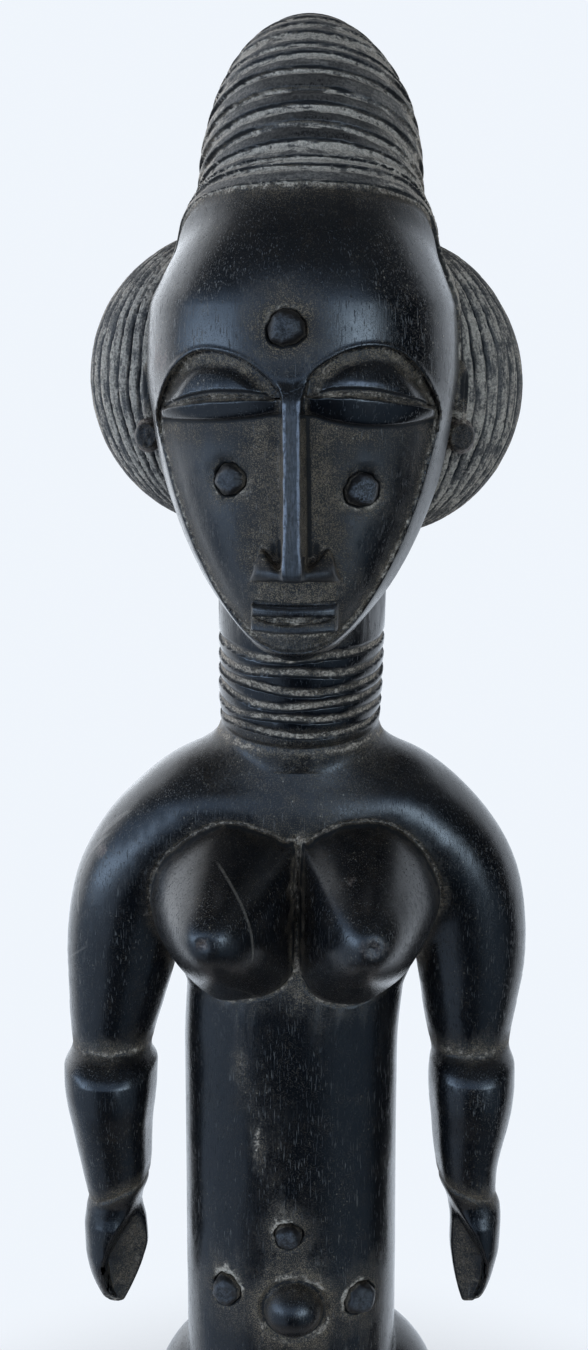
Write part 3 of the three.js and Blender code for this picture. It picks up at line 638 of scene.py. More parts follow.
def bun(x, y, z, side):
    cx = side * BUN_AT[0] + BUN_AT[1] + (BUN_SHIFT[0] if side > 0 else 0)
    dx, dy, dz = x - cx, y - BUN_AT[2], z - BUN_AT[3] - (BUN_SHIFT[1] if side > 0 else 0)
    v = egg(dx, dy, dz, *BUN_HALF)
    f = np.sqrt(np.maximum(1 - (dz / BUN_HALF[2]) ** 2, 0.02))
    a = np.arctan2(-dy / BUN_HALF[1], side * dx / BUN_HALF[0])
    deep, _, _ = bun_ridges(a, dz, side, x, y, z)
    return v + deep * step(0.12, 0.45, f) * step(0.2, -0.1, np.abs(a) - 2.6) + 0.06 * noise(x * 0.3, y * 0.3, z * 0.3)


def eye_of(x, z):
    l, r = eye_left(x), eye_right(x)
    left = x < 0
    zs, gap, foot = np.where(left, l[0], r[0]), np.where(left, l[1], r[1]), np.where(left, l[2], r[2])
    ends = np.where(left, step(-28.8, -25.8, x) * step(-2.9, -6.0, x), step(3.2, 6.6, x) * step(28.3, 25.2, x))
    roll = np.where(left, step(-29.4, -27.4, x), step(29.2, 27.2, x))
    return zs, gap, foot, ends, roll


def wrist_line(u):
    return 181.3 + 4.4 * step(49, 37, u)


def face_relief(x, z, e):
    """How far the face stands out of its own flat ground."""
    zs, gap, foot, ends, roll = eye_of(x, z)
    up = np.clip((z - zs) / 7.2, 0, 1)
    lid_up = (1 - up ** 1.5) * step(zs - 0.14, zs + 0.06, z) * step(-0.6, -4.4, e)
    low = np.clip((zs - z) / np.maximum(zs - foot, 1), 0, 1)
    lid_low = np.clip(1 - low ** 1.45, 0, 1) ** 0.6 * step(zs + 0.06, zs - 0.14, z)
    out = 2.25 * ends ** 0.7 * lid_up + 1.7 * roll * lid_low * step(-0.2, -1.6, e)
    slit = np.exp(-((z - zs) / (gap + 0.25)) ** 4) * step(0.0, 0.3, ends)
    out = out - 0.95 * slit
    # the cheeks lie lower than the eyes
    out = out - 0.5 * step(foot + 0.4, foot - 0.5, z) * step(0.0, -2.5, e)
    return out


def head(x, y, z):
    """The head without its hair, in its own turned frame."""
    w, cy, fy, by, ws, cys, fys, bys = head_of(z)
    front = y < cy
    dep = np.where(front, cy - fy, by - cy)
    deps = np.where(front, cys - fys, bys - cys)
    h = section(x, y - cy, w, dep, 2.2, -ws, -deps, 0, -cys)
    e = face_of(x, z)[0]
    on = step(-15, -18.5, y)
    # the face is let in behind a crisp rim: deep under the brows, shallow along the jaw
    drop = 0.5 + 1.4 * step(360, 375, z) + 0.45 * step(331, 322, z)
    brow = 0.16 * bell(e - 0.45, 0.45) * step(360, 368, z)
    lean = 0.62 * step(366, 356, z)
    wall = np.where(y < -16, -e * (1 - 0.3 * lean) + lean * h, -9)
    shell = smax(h - brow * on, wall * 0.97, 0.3)
    ground = h + np.maximum(drop * on, 1 - on) - on * face_relief(x, z, e) * step(0.0, -0.6, e)
    h = np.where(y < -14, np.minimum(shell, ground), h)
    # plain of the cheeks slightly hollow beside the nose
    h = h + on * 0.55 * bell(x - 7.5 * np.sign(x), 4.6) * step(366, 360, z) * step(331, 340, z)
    h = h + 0.05 * noise(x * 0.16, y * 0.16, z * 0.1)
    return smax(h, 317.5 - z, 1.2)


def nose(x, y, z):
    t, f, fy, ts, fs, fys = nose_of(z)
    xc = 0.1 + (355 - z) * 0.012
    u = np.abs(x - xc)
    k = np.clip((y - fy) / np.maximum(-35.2 - fy, 0.5), 0, 1.4)
    wide = t + (f - t) * k ** 1.5
    wob = 0.09 * noise(z * 0.55, np.sign(x) * 3, z * 0 + 1.0)
    side = (u - wide + wob) * 0.93
    groove = 0.16 * bell(u, 0.55) * step(340, 344, z)
    front = (fy - y + groove) * 0.98
    v = smax(side, front, 0.35)
    v = smax(v, (335.35 - z) * 0.9, 1.1)
    v = smax(v, z - 379, 0.8)
    # wings that sweep up and out like an anchor
    outer = 9.0 - (z - 335.2) * 0.36 - 0.2 * bell(z - 336.5, 1.2)
    upper = 337.3 + 0.42 * np.clip(u - 2.4, 0, 9) ** 1.6
    flat = smax(smax((u - outer) * 0.75, (z - upper) * 0.75, 1.4), (335.25 - 0.012 * u * u - z) * 0.95, 0.9)
    wing_y = -42.6 + 4.4 * np.clip(u / 8.8, 0, 1.2) ** 1.3 + 0.8 * np.clip(z - 337.2, 0, 5) + 0.30 * np.clip(336.9 - z, 0, 2) ** 2
    wing = smax(flat, (wing_y - y) * 0.9, 1.0)
    return smin(v, wing, 0.8)


def mouth(x, y, z):
    u = (x - 0.25) / 8.65
    yf = -37.7 + 1.7 * u * u
    top_z, low_z = 329.2 + 0.4 * u * u, 327.7
    a = smax(np.abs(z - (top_z + low_z) / 2) - (top_z - low_z) / 2, (yf - 0.35 - y) * 1.0, 0.45)
    lens = 1.3 * np.clip(1 - u * u, 0, 1)
    lo_t, lo_b = 327.25 - lens, 324.4 + 0.3 * u * u
    b = smax(np.abs(z - (lo_t + lo_b) / 2) - (lo_t - lo_b) / 2, (yf - 0.45 - y), 0.5)
    fill = smax(np.abs(z - 327) - 2.6, (yf + 1.5 - 0.9 * bell(z - lo_t - lens * 0.5, 0.5) * (1 - u * u) - y), 0.5)
    v = np.minimum(np.minimum(a, b), fill)
    v = smax(v, np.abs(x - 0.25) - 8.5, 0.35)
    post = smax(np.maximum(np.abs(np.abs(x - 0.25) - 8.45) - 0.27, np.abs(z - 327.2) - 2.75), (yf + 0.25 - y) * 0.9, 0.25)
    v = np.minimum(v, post)
    return np.maximum(v, y + 30)


def ears(x, y, z):
    u = np.abs(x)
    v = egg(u - 33.0, y + 5.2, z - 371.3, 2.5, 4.4, 6.6)
    dish = egg(u - 35.4, y + 6.4, z - 371.0, 2.1, 3.1, 4.9)
    v = smax(v, -dish, 0.35)
    cut = smax(v, 365.4 - z, 0.4)
    lobe = egg(u - 33.7, y + 5.6, z - 361.9, 3.0, 3.4, 3.7)
    face = -(y + 8.3) * 0.9 - 0.0
    lobe = smax(lobe, face, 0.35)
    rim = 0.28 * bell(np.hypot(u - 33.9, z - 361.9) - 2.35, 0.45) * step(-7.2, -8.2, y)
    lobe = lobe - rim + 0.18 * noise(x * 1.1, y * 1.1, z * 1.1)
    return np.minimum(cut, lobe)


def head_all(x, y, z):
    """Whole head in its turned frame: skull, face, hair, ears."""
    d = np.full(x.shape, 60.0, x.dtype)
    i = np.flatnonzero((z < 424) & (z > 306))
    if len(i):
        X, Y, Z = x[i], y[i], z[i]
        h = head(X, Y, Z)
        s = hair_of(Y, Z)[0]
        lift = 1.15 * step(-0.12, 0.3, s) + 0.35 * step(0.3, 3, s)
        lift = lift + 0.42 * bell(s - 2.7, 0.42) * step(402, 396, Z)
        j = np.flatnonzero((s > -2) & (Z > 394))
        if len(j):
            a, _, _, ring, _ = ring_height(X[j], Y[j], Z[j])
            lift[j] -= crest_relief(a, ring)[0] * step(395, 401, Z[j])
        cap = np.maximum(h - lift, Z - 414.5)
        d[i] = np.maximum(cap, Z - 414.5)
    i = np.flatnonzero((y < -28) & (z > 331) & (z < 384) & (np.abs(x) < 14))
    if len(i):
        d[i] = smin(d[i], nose(x[i], y[i], z[i]), 0.45)
    i = np.flatnonzero((y < -24) & (z > 318) & (z < 336) & (np.abs(x) < 15))
    if len(i):
        m = mouth(x[i], y[i], z[i])
        d[i] = smin(d[i] + 0.35 * bell(z[i] - 323.4, 0.7) * step(9.5, 6, np.abs(x[i])) * step(-26, -30, y[i]), m, 0.3)
    i = np.flatnonzero((np.abs(x) > 25) & (y < 4) & (y > -18) & (z > 350) & (z < 386))
    if len(i):
        d[i] = smin(d[i], ears(x[i], y[i], z[i]), 0.35)
    for side in (-1, 1):
        i = np.flatnonzero((z > 332) & (z < 415) & (y > -13) & (x * side > -26))
        if len(i):
            d[i] = smin(d[i], bun(x[i], y[i], z[i], side), 0.5)
    i = np.flatnonzero(z > 392)
    if len(i):
        k = 0.8
        d[i] = smin(d[i], crest(x[i], y[i], z[i]), k)
    return sockets(d, x, y, z, True)


def field(p):
    """Distance from the carved surface at world points in millimetres."""
    x, y, z = p[:, 0], p[:, 1], p[:, 2]
    x = x - sway_of(z)[0].astype(x.dtype)
    d = np.full(x.shape, 60.0, x.dtype)
    i = np.flatnonzero(z < 308)
    if len(i):
        d[i] = body(x[i], y[i], z[i])
    i = np.flatnonzero((z > 284) & (z < 342))
    if len(i):
        v = neck(x[i], y[i], z[i])
        d[i] = smin(d[i], v, 0.9)
    i = np.flatnonzero(z > 306)
    if len(i):
        lx, ly = to_head(x[i], y[i], z[i])
        d[i] = smin(d[i], head_all(lx, ly, z[i]), 0.4)
    return d


# ---- from field to mesh -------------------------------------------------
def graded(lo, hi, pitch, scale):
    """Grid lines from lo past hi, closer together where scale is small; a whole number of coarse cells."""
    at = [lo]
    while at[-1] < hi or (len(at) - 1) % 8:
        at.append(at[-1] + pitch * float(np.interp(at[-1], scale[0], scale[1])))
    return np.array(at)


def carve(pitch):
    """Closed mesh of the field: sparse cells refined to the pitch, then surface nets."""
    lines = [graded(-62.0, 64.0, pitch, ([0, 1], [1.0, 1.0])),
             graded(-50.0, 54.0, pitch, ([-14, -6], [0.92, 1.2])),
             graded(-4.0, 456.0, pitch, ([40, 60, 140, 160, 290, 300], [1.3, 1.2, 1.2, 1.0, 1.0, 0.8]))]
    n = np.array([(len(l) - 1) // 8 for l in lines])
    c = np.stack(np.meshgrid(*[np.arange(k) for k in n], indexing="ij"), -1).reshape(-1, 3)
    for level in range(4):
        wide = 8 >> level
        a = np.stack([lines[k][c[:, k] * wide] for k in range(3)], 1)
        b = np.stack([lines[k][(c[:, k] + 1) * wide] for k in range(3)], 1)
        reach = np.linalg.norm(b - a, axis=1) * 0.5
        d = field(((a + b) / 2).astype(np.float32))
        c = c[np.abs(d) < reach * 1.25 + (2.6, 1.9, 1.2, 0.9)[level]]
        if level == 3:
            break
        c = (c[:, None, :] * 2 + np.array([[i, j, k] for i in (0, 1) for j in (0, 1) for k in (0, 1)])).reshape(-1, 3)
    n = n * 8 + 1
    stride = np.array([n[1] * n[2], n[2], 1])
    corner = np.array([[i, j, k] for i in (0, 1) for j in (0, 1) for k in (0, 1)])
    off = corner @ stride
    cell = c @ stride
    need = np.zeros(int(n.prod()) + 1, bool)
    for o in off:
        need[cell + o] = True
    at = np.flatnonzero(need)
    p = np.stack([lines[0][at // stride[0]], lines[1][at // stride[1] % n[1]], lines[2][at % n[2]]], 1)
    value = np.full(len(need), 9.0, np.float32)
    for k in range(0, len(at), 400000):
        value[at[k:k + 400000]] = field(p[k:k + 400000].astype(np.float32))
    v = value[cell[:, None] + off[None, :]]
    neg = (v < 0).sum(1)
    m = (neg > 0) & (neg < 8)
    c, cell, v = c[m], cell[m], v[m]
    total = np.zeros((len(c), 3), np.float32)
    count = np.zeros(len(c), np.float32)
    for a in range(8):
        for b in range(a + 1, 8):
            if np.abs(corner[a] - corner[b]).sum() != 1:
                continue
            va, vb = v[:, a], v[:, b]
            cross = (va < 0) != (vb < 0)
            t = np.where(cross, va / np.where(cross, va - vb, 1), 0)[:, None]
            total += np.where(cross[:, None], corner[a] + (corner[b] - corner[a]) * t, 0)
            count += cross
    f = total / count[:, None]
    vert = np.stack([lines[k][c[:, k]] + f[:, k] * (lines[k][c[:, k] + 1] - lines[k][c[:, k]]) for k in range(3)], 1)
    index = np.full(len(need), -1, np.int32)
    index[cell] = np.arange(len(cell), dtype=np.int32)
    quads = []
    for ax in range(3):
        u, w = (ax + 1) % 3, (ax + 2) % 3
        b = cell + stride[ax]
        va, vb = value[cell], value[b]
        m = (va < 0) != (vb < 0)
        base, flip = cell[m], (va < 0)[m]
        q = np.stack([index[base], index[base - stride[u]], index[base - stride[u] - stride[w]], index[base - stride[w]]], 1)
        q[~flip] = q[~flip][:, ::-1]
        quads.append(q)
    quads = np.concatenate(quads)
    quads = quads[(quads >= 0).all(1)]
    return vert, quads


def gradient(p, h=0.06):
    p = p.astype(np.float64)
    g = np.empty_like(p)
    for k in range(3):
        e = np.zeros(3)
        e[k] = h
        g[:, k] = (field(p + e) - field(p - e)) / (2 * h)
    return g


def settle(p, most, times=2):
    for _ in range(times):
        d = field(p.astype(np.float64))
        g = gradient(p)
        s = d[:, None] * g / np.maximum((g * g).sum(1), 0.25)[:, None]
        l = np.linalg.norm(s, axis=1, keepdims=True)
        p = p - s * np.minimum(1, most / np.maximum(l, 1e-9))
    return p


def largest(vert, faces):
    """Only the one connected surface, with unused points dropped."""
    label = np.arange(len(vert))
    a, b = faces[:, :-1].ravel(), faces[:, 1:].ravel()
    while True:
        old = label.copy()
        m = np.minimum(label[a], label[b])
        np.minimum.at(label, a, m)
        np.minimum.at(label, b, m)
        for _ in range(6):
            label = label[label]
        if (label == old).all():
            break
    names, counts = np.unique(label, return_counts=True)
    keep = label == names[counts.argmax()]
    new = np.cumsum(keep) - 1
    return vert[keep], new[faces[keep[faces[:, 0]]]], len(names)
# ---- end of shape -------------------------------------------------------


# ---- meshes -------------------------------------------------------------
def mesh_object(name, points_mm, faces):
    me = bpy.data.meshes.new(name)
    faces = np.asarray(faces)
    me.vertices.add(len(points_mm))
    me.vertices.foreach_set("co", (np.asarray(points_mm, np.float64) / 1000).astype(np.float32).ravel())
    n, k = faces.shape
    me.loops.add(n * k)
    me.loops.foreach_set("vertex_index", faces.astype(np.int32).ravel())
    me.polygons.add(n)
    me.polygons.foreach_set("loop_start", np.arange(0, n * k, k, dtype=np.int32))
    me.update(calc_edges=True)
    me.validate()
    me.shade_smooth()
    ob = bpy.data.objects.new(name, me)
    bpy.context.collection.objects.link(ob)
    return ob


def points_of(me):
    p = np.empty(len(me.vertices) * 3, np.float32)
    me.vertices.foreach_get("co", p)
    return p.reshape(-1, 3).astype(np.float64) * 1000


def thin_out(ob, target, weights=None, factor=1.0):
    """Collapse flat areas until the triangle count is met, then keep the result."""
    me = ob.data
    tris = sum(len(p.vertices) - 2 for p in me.polygons) if len(me.polygons) < 1000 else len(me.polygons) * 2
    mod = ob.modifiers.new("thin", "DECIMATE")
    mod.ratio = min(1.0, target / tris)
    mod.use_collapse_triangulate = True
    if weights is not None:
        g = ob.vertex_groups.new(name="free")
        levels = np.round(np.clip(weights, 0.05, 1) * 20) / 20
        for w in np.unique(levels):
            g.add(np.flatnonzero(levels == w).tolist(), float(w), "REPLACE")
        mod.vertex_group = "free"
        mod.vertex_group_factor = factor
    bpy.context.view_layer.update()
    dep = bpy.context.evaluated_depsgraph_get()
    new = bpy.data.meshes.new_from_object(ob.evaluated_get(dep))
    ob.modifiers.clear()
    ob.vertex_groups.clear()
    old = ob.data
    ob.data = new
    new.name = old.name
    bpy.data.meshes.remove(old)
    for name in [a.name for a in new.attributes if a.name not in ("position", ".edge_verts", ".corner_vert", ".corner_edge", "sharp_face")]:
        if name in new.attributes:
            try:
                new.attributes.remove(new.attributes[name])
            except RuntimeError:
                pass
    new.shade_smooth()
    return new


pitch = 0.5
vert, quads = carve(pitch)
vert = settle(vert, 0.3 * pitch, 1)
figure = mesh_object("figure_carved", vert, quads)
# the eyes, nose, mouth and ears keep their full detail
u_, z_ = np.abs(vert[:, 0] - 2), vert[:, 2]
fine_face = (vert[:, 1] < -27) & (z_ > 319) & (z_ < 383) & (((z_ < 345) & (u_ < 11.5)) | (u_ < 5.2) | (z_ > 360.5))
fine_ear = (u_ > 27) & (vert[:, 1] < 4) & (vert[:, 1] > -16) & (z_ > 354) & (z_ < 380)
me = thin_out(figure, 197000, np.where(fine_face | fine_ear, 0.05, 1.0))
print("figure triangles", len(me.polygons))


def finish_shape(me):
    """One closed surface, its points on the field and its shading normals from the field."""
    p = points_of(me)
    f = np.empty(len(me.loops), np.int32)
    me.loops.foreach_get("vertex_index", f)
    p, f, bits = largest(p, f.reshape(-1, 3))
    q = settle(p, 0.12, 1)

    def facing(p):
        n = np.cross(p[f[:, 1]] - p[f[:, 0]], p[f[:, 2]] - p[f[:, 0]])
        return n / np.maximum(np.linalg.norm(n, axis=1, keepdims=True), 1e-12)
    a, b = facing(p), facing(q)
    turned = f[(a * b).sum(1) < 0.6].ravel()
    q[turned] = p[turned]
    n = gradient(q, 0.1)
    n /= np.maximum(np.linalg.norm(n, axis=1, keepdims=True), 1e-9)
    # where the field turns too sharply, keep the mean of the faces' own directions
    b = facing(q)
    own = np.zeros_like(q)
    for k in range(3):
        np.add.at(own, f[:, k], b)
    own /= np.maximum(np.linalg.norm(own, axis=1, keepdims=True), 1e-9)
    off = (own * n).sum(1) < 0.7
    n[off] = own[off]
    return q, f, n, bits


p, f, normals, bits = finish_shape(me)
bpy.data.objects.remove(figure)
bpy.data.meshes.remove(me)
figure = mesh_object("figure_carved", p, f)
me = figure.data
me.normals_split_custom_set_from_vertices(normals.astype(np.float32))
print("loose bits dropped", bits - 1)


# ---- where dust, grime, wear, polish and painted light and shade lie, one value a point ---
def near_peg(peg, x, y, z):
    """Distance outward from a peg's side, and the angle round it."""
    u, v, w = peg_coords(peg, x, y, z)
    a = np.arctan2(v, u)
    r = np.hypot(u, v) - peg_radius(peg, a, 0.3)
    return np.where(np.abs(w) < 7, r, 99.0), a


def paint(p, n):
    y, z = p[:, 1], p[:, 2]
    x = p[:, 0] - sway_of(z)[0]
    X, Y = to_head(x, y, z)
    zero = np.zeros(len(p))
    kept, comb = zero.copy(), np.zeros((len(p), 3))
    c = {k: zero.copy() for k in ("dust", "tan", "dark", "gloss", "matte", "worn", "speck", "painted_sheen", "film", "combed")}

    def more(name, value, where=None):
        if where is None:
            c[name] = np.maximum(c[name], value)
        else:
            c[name][where] = np.maximum(c[name][where], value)

    # hollows and edges of the field at two sizes
    cave, ridge = zero.copy(), zero.copy()
    for h, k in ((0.8, 1.0), (2.4, 0.8)):
        cave = np.maximum(cave, k * np.clip((h - field(p + n * h)) / h * 1.5, 0, 1))
        ridge = np.maximum(ridge, k * np.clip((h + field(p - n * h)) / h * 1.4, 0, 1))
    n1 = noise(x * 0.11, y * 0.11, z * 0.11)
    n2 = noise(x * 0.43 + 5, y * 0.43, z * 0.43)
    n3 = noise(x * 1.3 + 9, y * 1.3, z * 1.3)
    rag = 0.5 * n2 + 0.5 * n3

    head = z > 314
    top = head & (z > 388)
    hs = np.where(z > 322, hair_of(Y, z)[0], -9.0)
    hair = step(-0.15, 0.35, hs) * head
    side = np.sign(X)
    bun_d = np.full(len(p), 9.0)
    bun_a, bun_z, in_bun = zero.copy(), zero.copy(), zero.copy()
    for s in (-1, 1):
        m = np.flatnonzero(head & (X * s > -24) & (Y > -13) & (z > 330) & (z < 416))
        cx = s * BUN_AT[0] + BUN_AT[1] + (BUN_SHIFT[0] if s > 0 else 0)
        dx, dy, dz = X[m] - cx, Y[m] - BUN_AT[2], z[m] - BUN_AT[3] - (BUN_SHIFT[1] if s > 0 else 0)
        e = egg(dx, dy, dz, *BUN_HALF)
        a = np.arctan2(-dy / BUN_HALF[1], s * dx / BUN_HALF[0])
        groove = bun_ridges(a, dz, s, X[m], Y[m], z[m])
        inside = step(1.5, 0.9, np.abs(e + 0.25))
        k = inside > 0.3
        m, a, g, f = m[k], a[k], groove[1][k], groove[2][k]
        in_bun[m] = inside[k]
        comb[m, 0], comb[m, 1] = a * 29.0 + 200 * s, z[m] - BUN_AT[3]
        more("combed", inside[k], m)
        c["dust"][m] = (0.60 + 0.22 * n2[m] + 0.14 * n3[m]) * (1 - 0.9 * g) + 0.25 * (0.45 - f)
        # painted shade: the grooves are painted black and kept clear of dust
        c["dark"][m] = np.maximum(c["dark"][m], np.clip(1.1 * g + 0.25 * n3[m] - 0.1, 0, 1))
        c["matte"][m] = 0.9
        c["film"][m] = 0.75 * (1 - 0.9 * g)

    # crest and cap: dusty floors between polished crests, grey sides
    m = np.flatnonzero(top & (hair > 0.02) & (in_bun < 0.5))
    a, r, s, ring, low = ring_height(X[m], Y[m], z[m])
    _, floor, edge = crest_relief(a, ring, True)
    comb[m, 0], comb[m, 1] = ring, a * 26.0
    more("combed", hair[m], m)
    out = step(0.42, 0.85, np.abs(a + 0.1) + 0.12 * n2[m]) * 0.55 + step(0.8, 1.25, np.abs(a)) * 0.25
    foot = 0.42 * bell(ring - 7.6, 3.6) + 0.25 * step(28, 36, ring)
    base = np.clip(out + foot * (0.75 + 0.6 * n2[m]) + 0.16 * n1[m], 0, 0.85)
    shine = bell(a - 0.1 + 0.15 * n2[m], 0.62) * (step(9.5, 11, ring) * step(29, 24, ring) + 0.6 * bell(ring - 10.8, 1.3))
    base = base * (1 - 0.9 * shine)
    n4 = noise(X[m] * 0.9 + 3, Y[m] * 0.9, z[m] * 2.6)
    chip = step(0.25, 0.75, n4 + 0.4 * n2[m]) * (1 - step(0.9, 1.4, np.abs(a)))
    d = np.maximum(base * (0.82 + 0.5 * n3[m]), floor * (0.84 - 0.15 * step(0.9, 1.5, np.abs(a)) + 0.2 * n3[m] + 0.15 * n2[m] - 0.55 * chip))
    c["dust"][m] = np.clip(d * (1 - 0.9 * edge), 0, 1) * hair[m]
    # painted shade: a thin black line under the lip of each ridge; chips in the dusty floors are darkened too
    c["dark"][m] = np.maximum(c["dark"][m], np.clip(0.85 * edge + 0.5 * chip * floor, 0, 1) * hair[m])
    c["film"][m] = np.clip((1.5 * out + 0.6 * foot + 0.95) * (1 - 0.55 * shine) * (0.9 + 0.4 * n2[m]) * (1 - 0.85 * edge), 0, 1) * hair[m]
    c["gloss"][m] = np.clip(shine * (1 - floor) * 1.1, 0, 1)
    c["matte"][m] = np.clip(0.75 - 0.8 * shine, 0, 1) * hair[m]
    more("tan", 0.35 * out * hair[m], m)
    # hair strip beside the face, down to the ear
    m = np.flatnonzero(head & (z <= 388) & (hair > 0.02) & (in_bun < 0.5))
    more("dust", (0.5 + 0.25 * n2[m]) * hair[m], m)
    more("matte", 0.7 * hair[m], m)
    more("tan", 0.5 * hair[m], m)
    # brownish fade under the hairline, then the black forehead
    m = np.flatnonzero(head & (hs < 0.2) & (z > 384) & (n[:, 1] < 0.2))
    f = np.exp(np.minimum(hs[m], 0) / 1.5)
    cap = f * step(388, 402, z[m])
    more("dust", 0.74 * np.exp(np.minimum(hs[m] + 0.3, 0) / 1.1) * step(386, 399, z[m]) * (0.8 + 0.3 * n2[m]), m)
    more("tan", np.clip(1.0 * np.exp(np.minimum(hs[m], 0) / 3.0) * step(384, 400, z[m]), 0, 1), m)
    more("matte", 0.7 * cap, m)
    more("dark", 0.9 * bell(hs[m] - 0.05, 0.24) * step(388, 396, z[m]), m)

    # forehead: specks, more to the sides
    m = np.flatnonzero(head & (hs < -0.2) & (z > 366) & (Y < 4))
    more("speck", 0.3 + 0.45 * step(8, 24, np.abs(X[m])), m)
    more("gloss", 0.9 * (1 - 0.5 * step(398, 406, z[m])), m)
    more("worn", 0.85 * bell(np.hypot(X[m] + 27.6, (z[m] - 378.3) * 0.5), 2.6) * (0.8 + 0.4 * n3[m]), m)

    # the face inside its rim
    face = np.flatnonzero(head & (Y < -14) & (z < 384) & (n[:, 1] < 0.35))
    fx, fz, fy = X[face], z[face], Y[face]
    e = face_of(fx, fz)[0]
    zs, gap, foot, ends, roll = eye_of(fx, fz)
    inside = step(0.05, -0.25, e)
    r2, r3 = n2[face], n3[face]
    eye = inside * step(-0.5, 0.5, fz - zs)
    band = step(-0.2, -0.55, e) * step(-3.3, -1.9, e + 0.5 * r2)
    v = eye * band * step(2.0, 3.6, fz - zs + 0.6 * r2)
    more("tan", v, face)
    more("dust", 0.3 * v, face)
    more("matte", 0.55 * v, face)
    more("gloss", eye * (1 - band) * 0.95, face)
    # painted shade under the overhanging brow, along the inner edge of the rim
    more("dark", 0.9 * inside * bell(e + 0.12, 0.3) * step(362, 368, fz), face)
    slit = ends * bell(fz - zs + 0.1, gap + 0.14) * step(0.2, 0.5, ends)
    more("dust", 0.48 * slit * np.clip(0.8 + 0.5 * r3, 0, 1), face)
    more("tan", 0.9 * slit, face)
    more("matte", slit, face)
    # painted shade under the edge of the upper lid
    more("dark", 0.95 * ends * bell(fz - zs - gap - 0.12, 0.26), face)
    # painted highlight along the lower edge of the upper lids
    lid_edge_glint = eye * ends * bell(fz - zs - gap - 1.15, 0.55)
    more("painted_sheen", lid_edge_glint * np.clip(0.62 * bell(fx - 13.5, 5.0) + 0.34 * bell(fx + 17, 4.0) + 0.25 * r3, 0, 1), face)
    c["gloss"][face] *= 1 - slit
    lid = inside * roll * step(-0.1, -0.5, fz - zs + gap) * step(-0.2, 0.4, fz - foot)
    more("gloss", lid * 0.95, face)
    c["speck"][face] *= 1 - 0.8 * lid
    c["tan"][face] *= 1 - 0.6 * lid
    # painted shadow under the lower lid
    more("dark", 0.8 * inside * bell(fz - foot + 0.25, 0.5) * roll, face)
    more("dust", 0.34 * inside * bell(fz - foot + 0.0, 0.2) * (fx < -3) * step(-26, -18, fx), face)
    low = inside * step(0.1, -0.7, fz - foot)
    beside = step(15.5, 5.5, np.abs(fx) + 2.2 * r2 + 0.03 * (fz - 350))
    more("tan", low * np.clip(beside * 1.05, 0, 1) * step(330, 337, fz), face)
    more("speck", low * np.clip(0.3 + beside, 0, 1), face)
    more("dust", low * beside * 0.24, face)
    under = low * step(9.5, 2.0, foot - fz) * (1 - 0.45 * step(14, 22, fx))
    more("tan", 0.75 * under * np.clip(0.8 + 0.5 * r2, 0, 1), face)
    more("speck", 0.8 * under, face)
    more("matte", low * np.clip(1.3 * beside, 0, 1), face)
    more("matte", under, face)
    more("gloss", low * (1 - 0.8 * beside) * (1 - 0.9 * under) * 0.8, face)
    for peg in PEGS[1:3]:
        rd, ra = near_peg(peg, fx, fy, fz)
        halo = np.exp(-np.maximum(rd, 0) / 2.4) * (rd > -0.6) * (1 + 0.5 * np.sin(-ra)) * 0.8
        more("tan", np.clip(halo * 1.2, 0, 1) * low, face)
        more("speck", np.clip(halo * 1.1, 0, 1) * low, face)
        more("dust", 0.45 * low * np.exp(-np.maximum(rd - 0.3, 0) / 0.9) * np.clip(0.6 - np.sin(ra) + 0.4 * r2, 0, 1), face)
        more("dark", bell(rd, 0.35) * 0.9, face)
        c["gloss"][face] *= 1 - 0.7 * np.clip(halo, 0, 1)
    # philtrum, mouth and chin
    ux = (fx - 0.25) / 8.9
    ux = ux + 0.05 * r2
    phil = low * step(1.12, 0.8, np.abs(ux)) * step(328.8, 330.2, fz) * step(336.3, 334.9, fz + 0.3 * r3)
    more("tan", phil, face)
    more("dust", 0.2 * phil, face)
    more("speck", phil, face)
    more("matte", 0.7 * phil, face)
    lens = low * step(1.0, 0.8, np.abs(ux)) * bell(fz - (327.3 - 0.62 * (1 - ux * ux)), 0.25 + 0.5 * np.clip(1 - ux * ux, 0, 1))
    more("dust", 0.36 * lens, face)
    more("tan", lens, face)
    more("matte", lens, face)
    lips = low * step(1.02, 0.9, np.abs(ux)) * np.maximum(step(327.6, 327.9, fz) * step(330.2, 329.8, fz), bell(fz - 325.1, 0.75)) * (1 - lens)
    chin = inside * step(1.15, 0.6, np.abs(ux)) * bell(fz - 323.2 - 0.5 * ux * ux, 0.8)
    more("dust", 0.5 * chin, face)
    more("tan", 0.9 * chin, face)
    round_mouth = low * bell(np.hypot(np.maximum(np.abs(fx) - 6.6, 0), np.maximum(np.abs(fz - 330) - 5, 0)) + 0.9 * r2, 4.2)
    more("tan", 0.75 * round_mouth, face)
    for k in ("tan", "dust", "speck", "matte"):
        c[k][face] *= 1 - 0.85 * lips
    more("gloss", lips, face)
    # painted highlights along the top edge of the upper lip and the bottom edge of the lower lip
    lip_glint_top = low * step(1.0, 0.93, np.abs(ux)) * bell(fz - 329.15 - 0.4 * ux * ux, 0.36)
    lip_glint_low = low * step(0.98, 0.9, np.abs(ux)) * bell(fz - 324.95 - 0.3 * ux * ux, 0.34)
    more("painted_sheen", np.clip(0.75 * lip_glint_top * (0.8 + 0.3 * r3 + 0.25 * ux) + 0.5 * lip_glint_low * (0.8 + 0.4 * r3), 0, 1), face)
    # painted shade in the mouth's slit, under the lower lip and along the top of the upper lip
    more("dark", 0.95 * low * step(0.98, 0.93, np.abs(ux)) * bell(fz - 327.5 + 0.1 * ux, 0.22), face)
    more("dark", 0.8 * low * bell(fz - 323.9, 0.45) * step(1.05, 0.9, np.abs(ux)), face)
    more("dark", 0.7 * low * bell(fz - 330.1 - 0.4 * ux * ux, 0.3) * step(1.05, 0.95, np.abs(ux)), face)
    kept[face] = lips
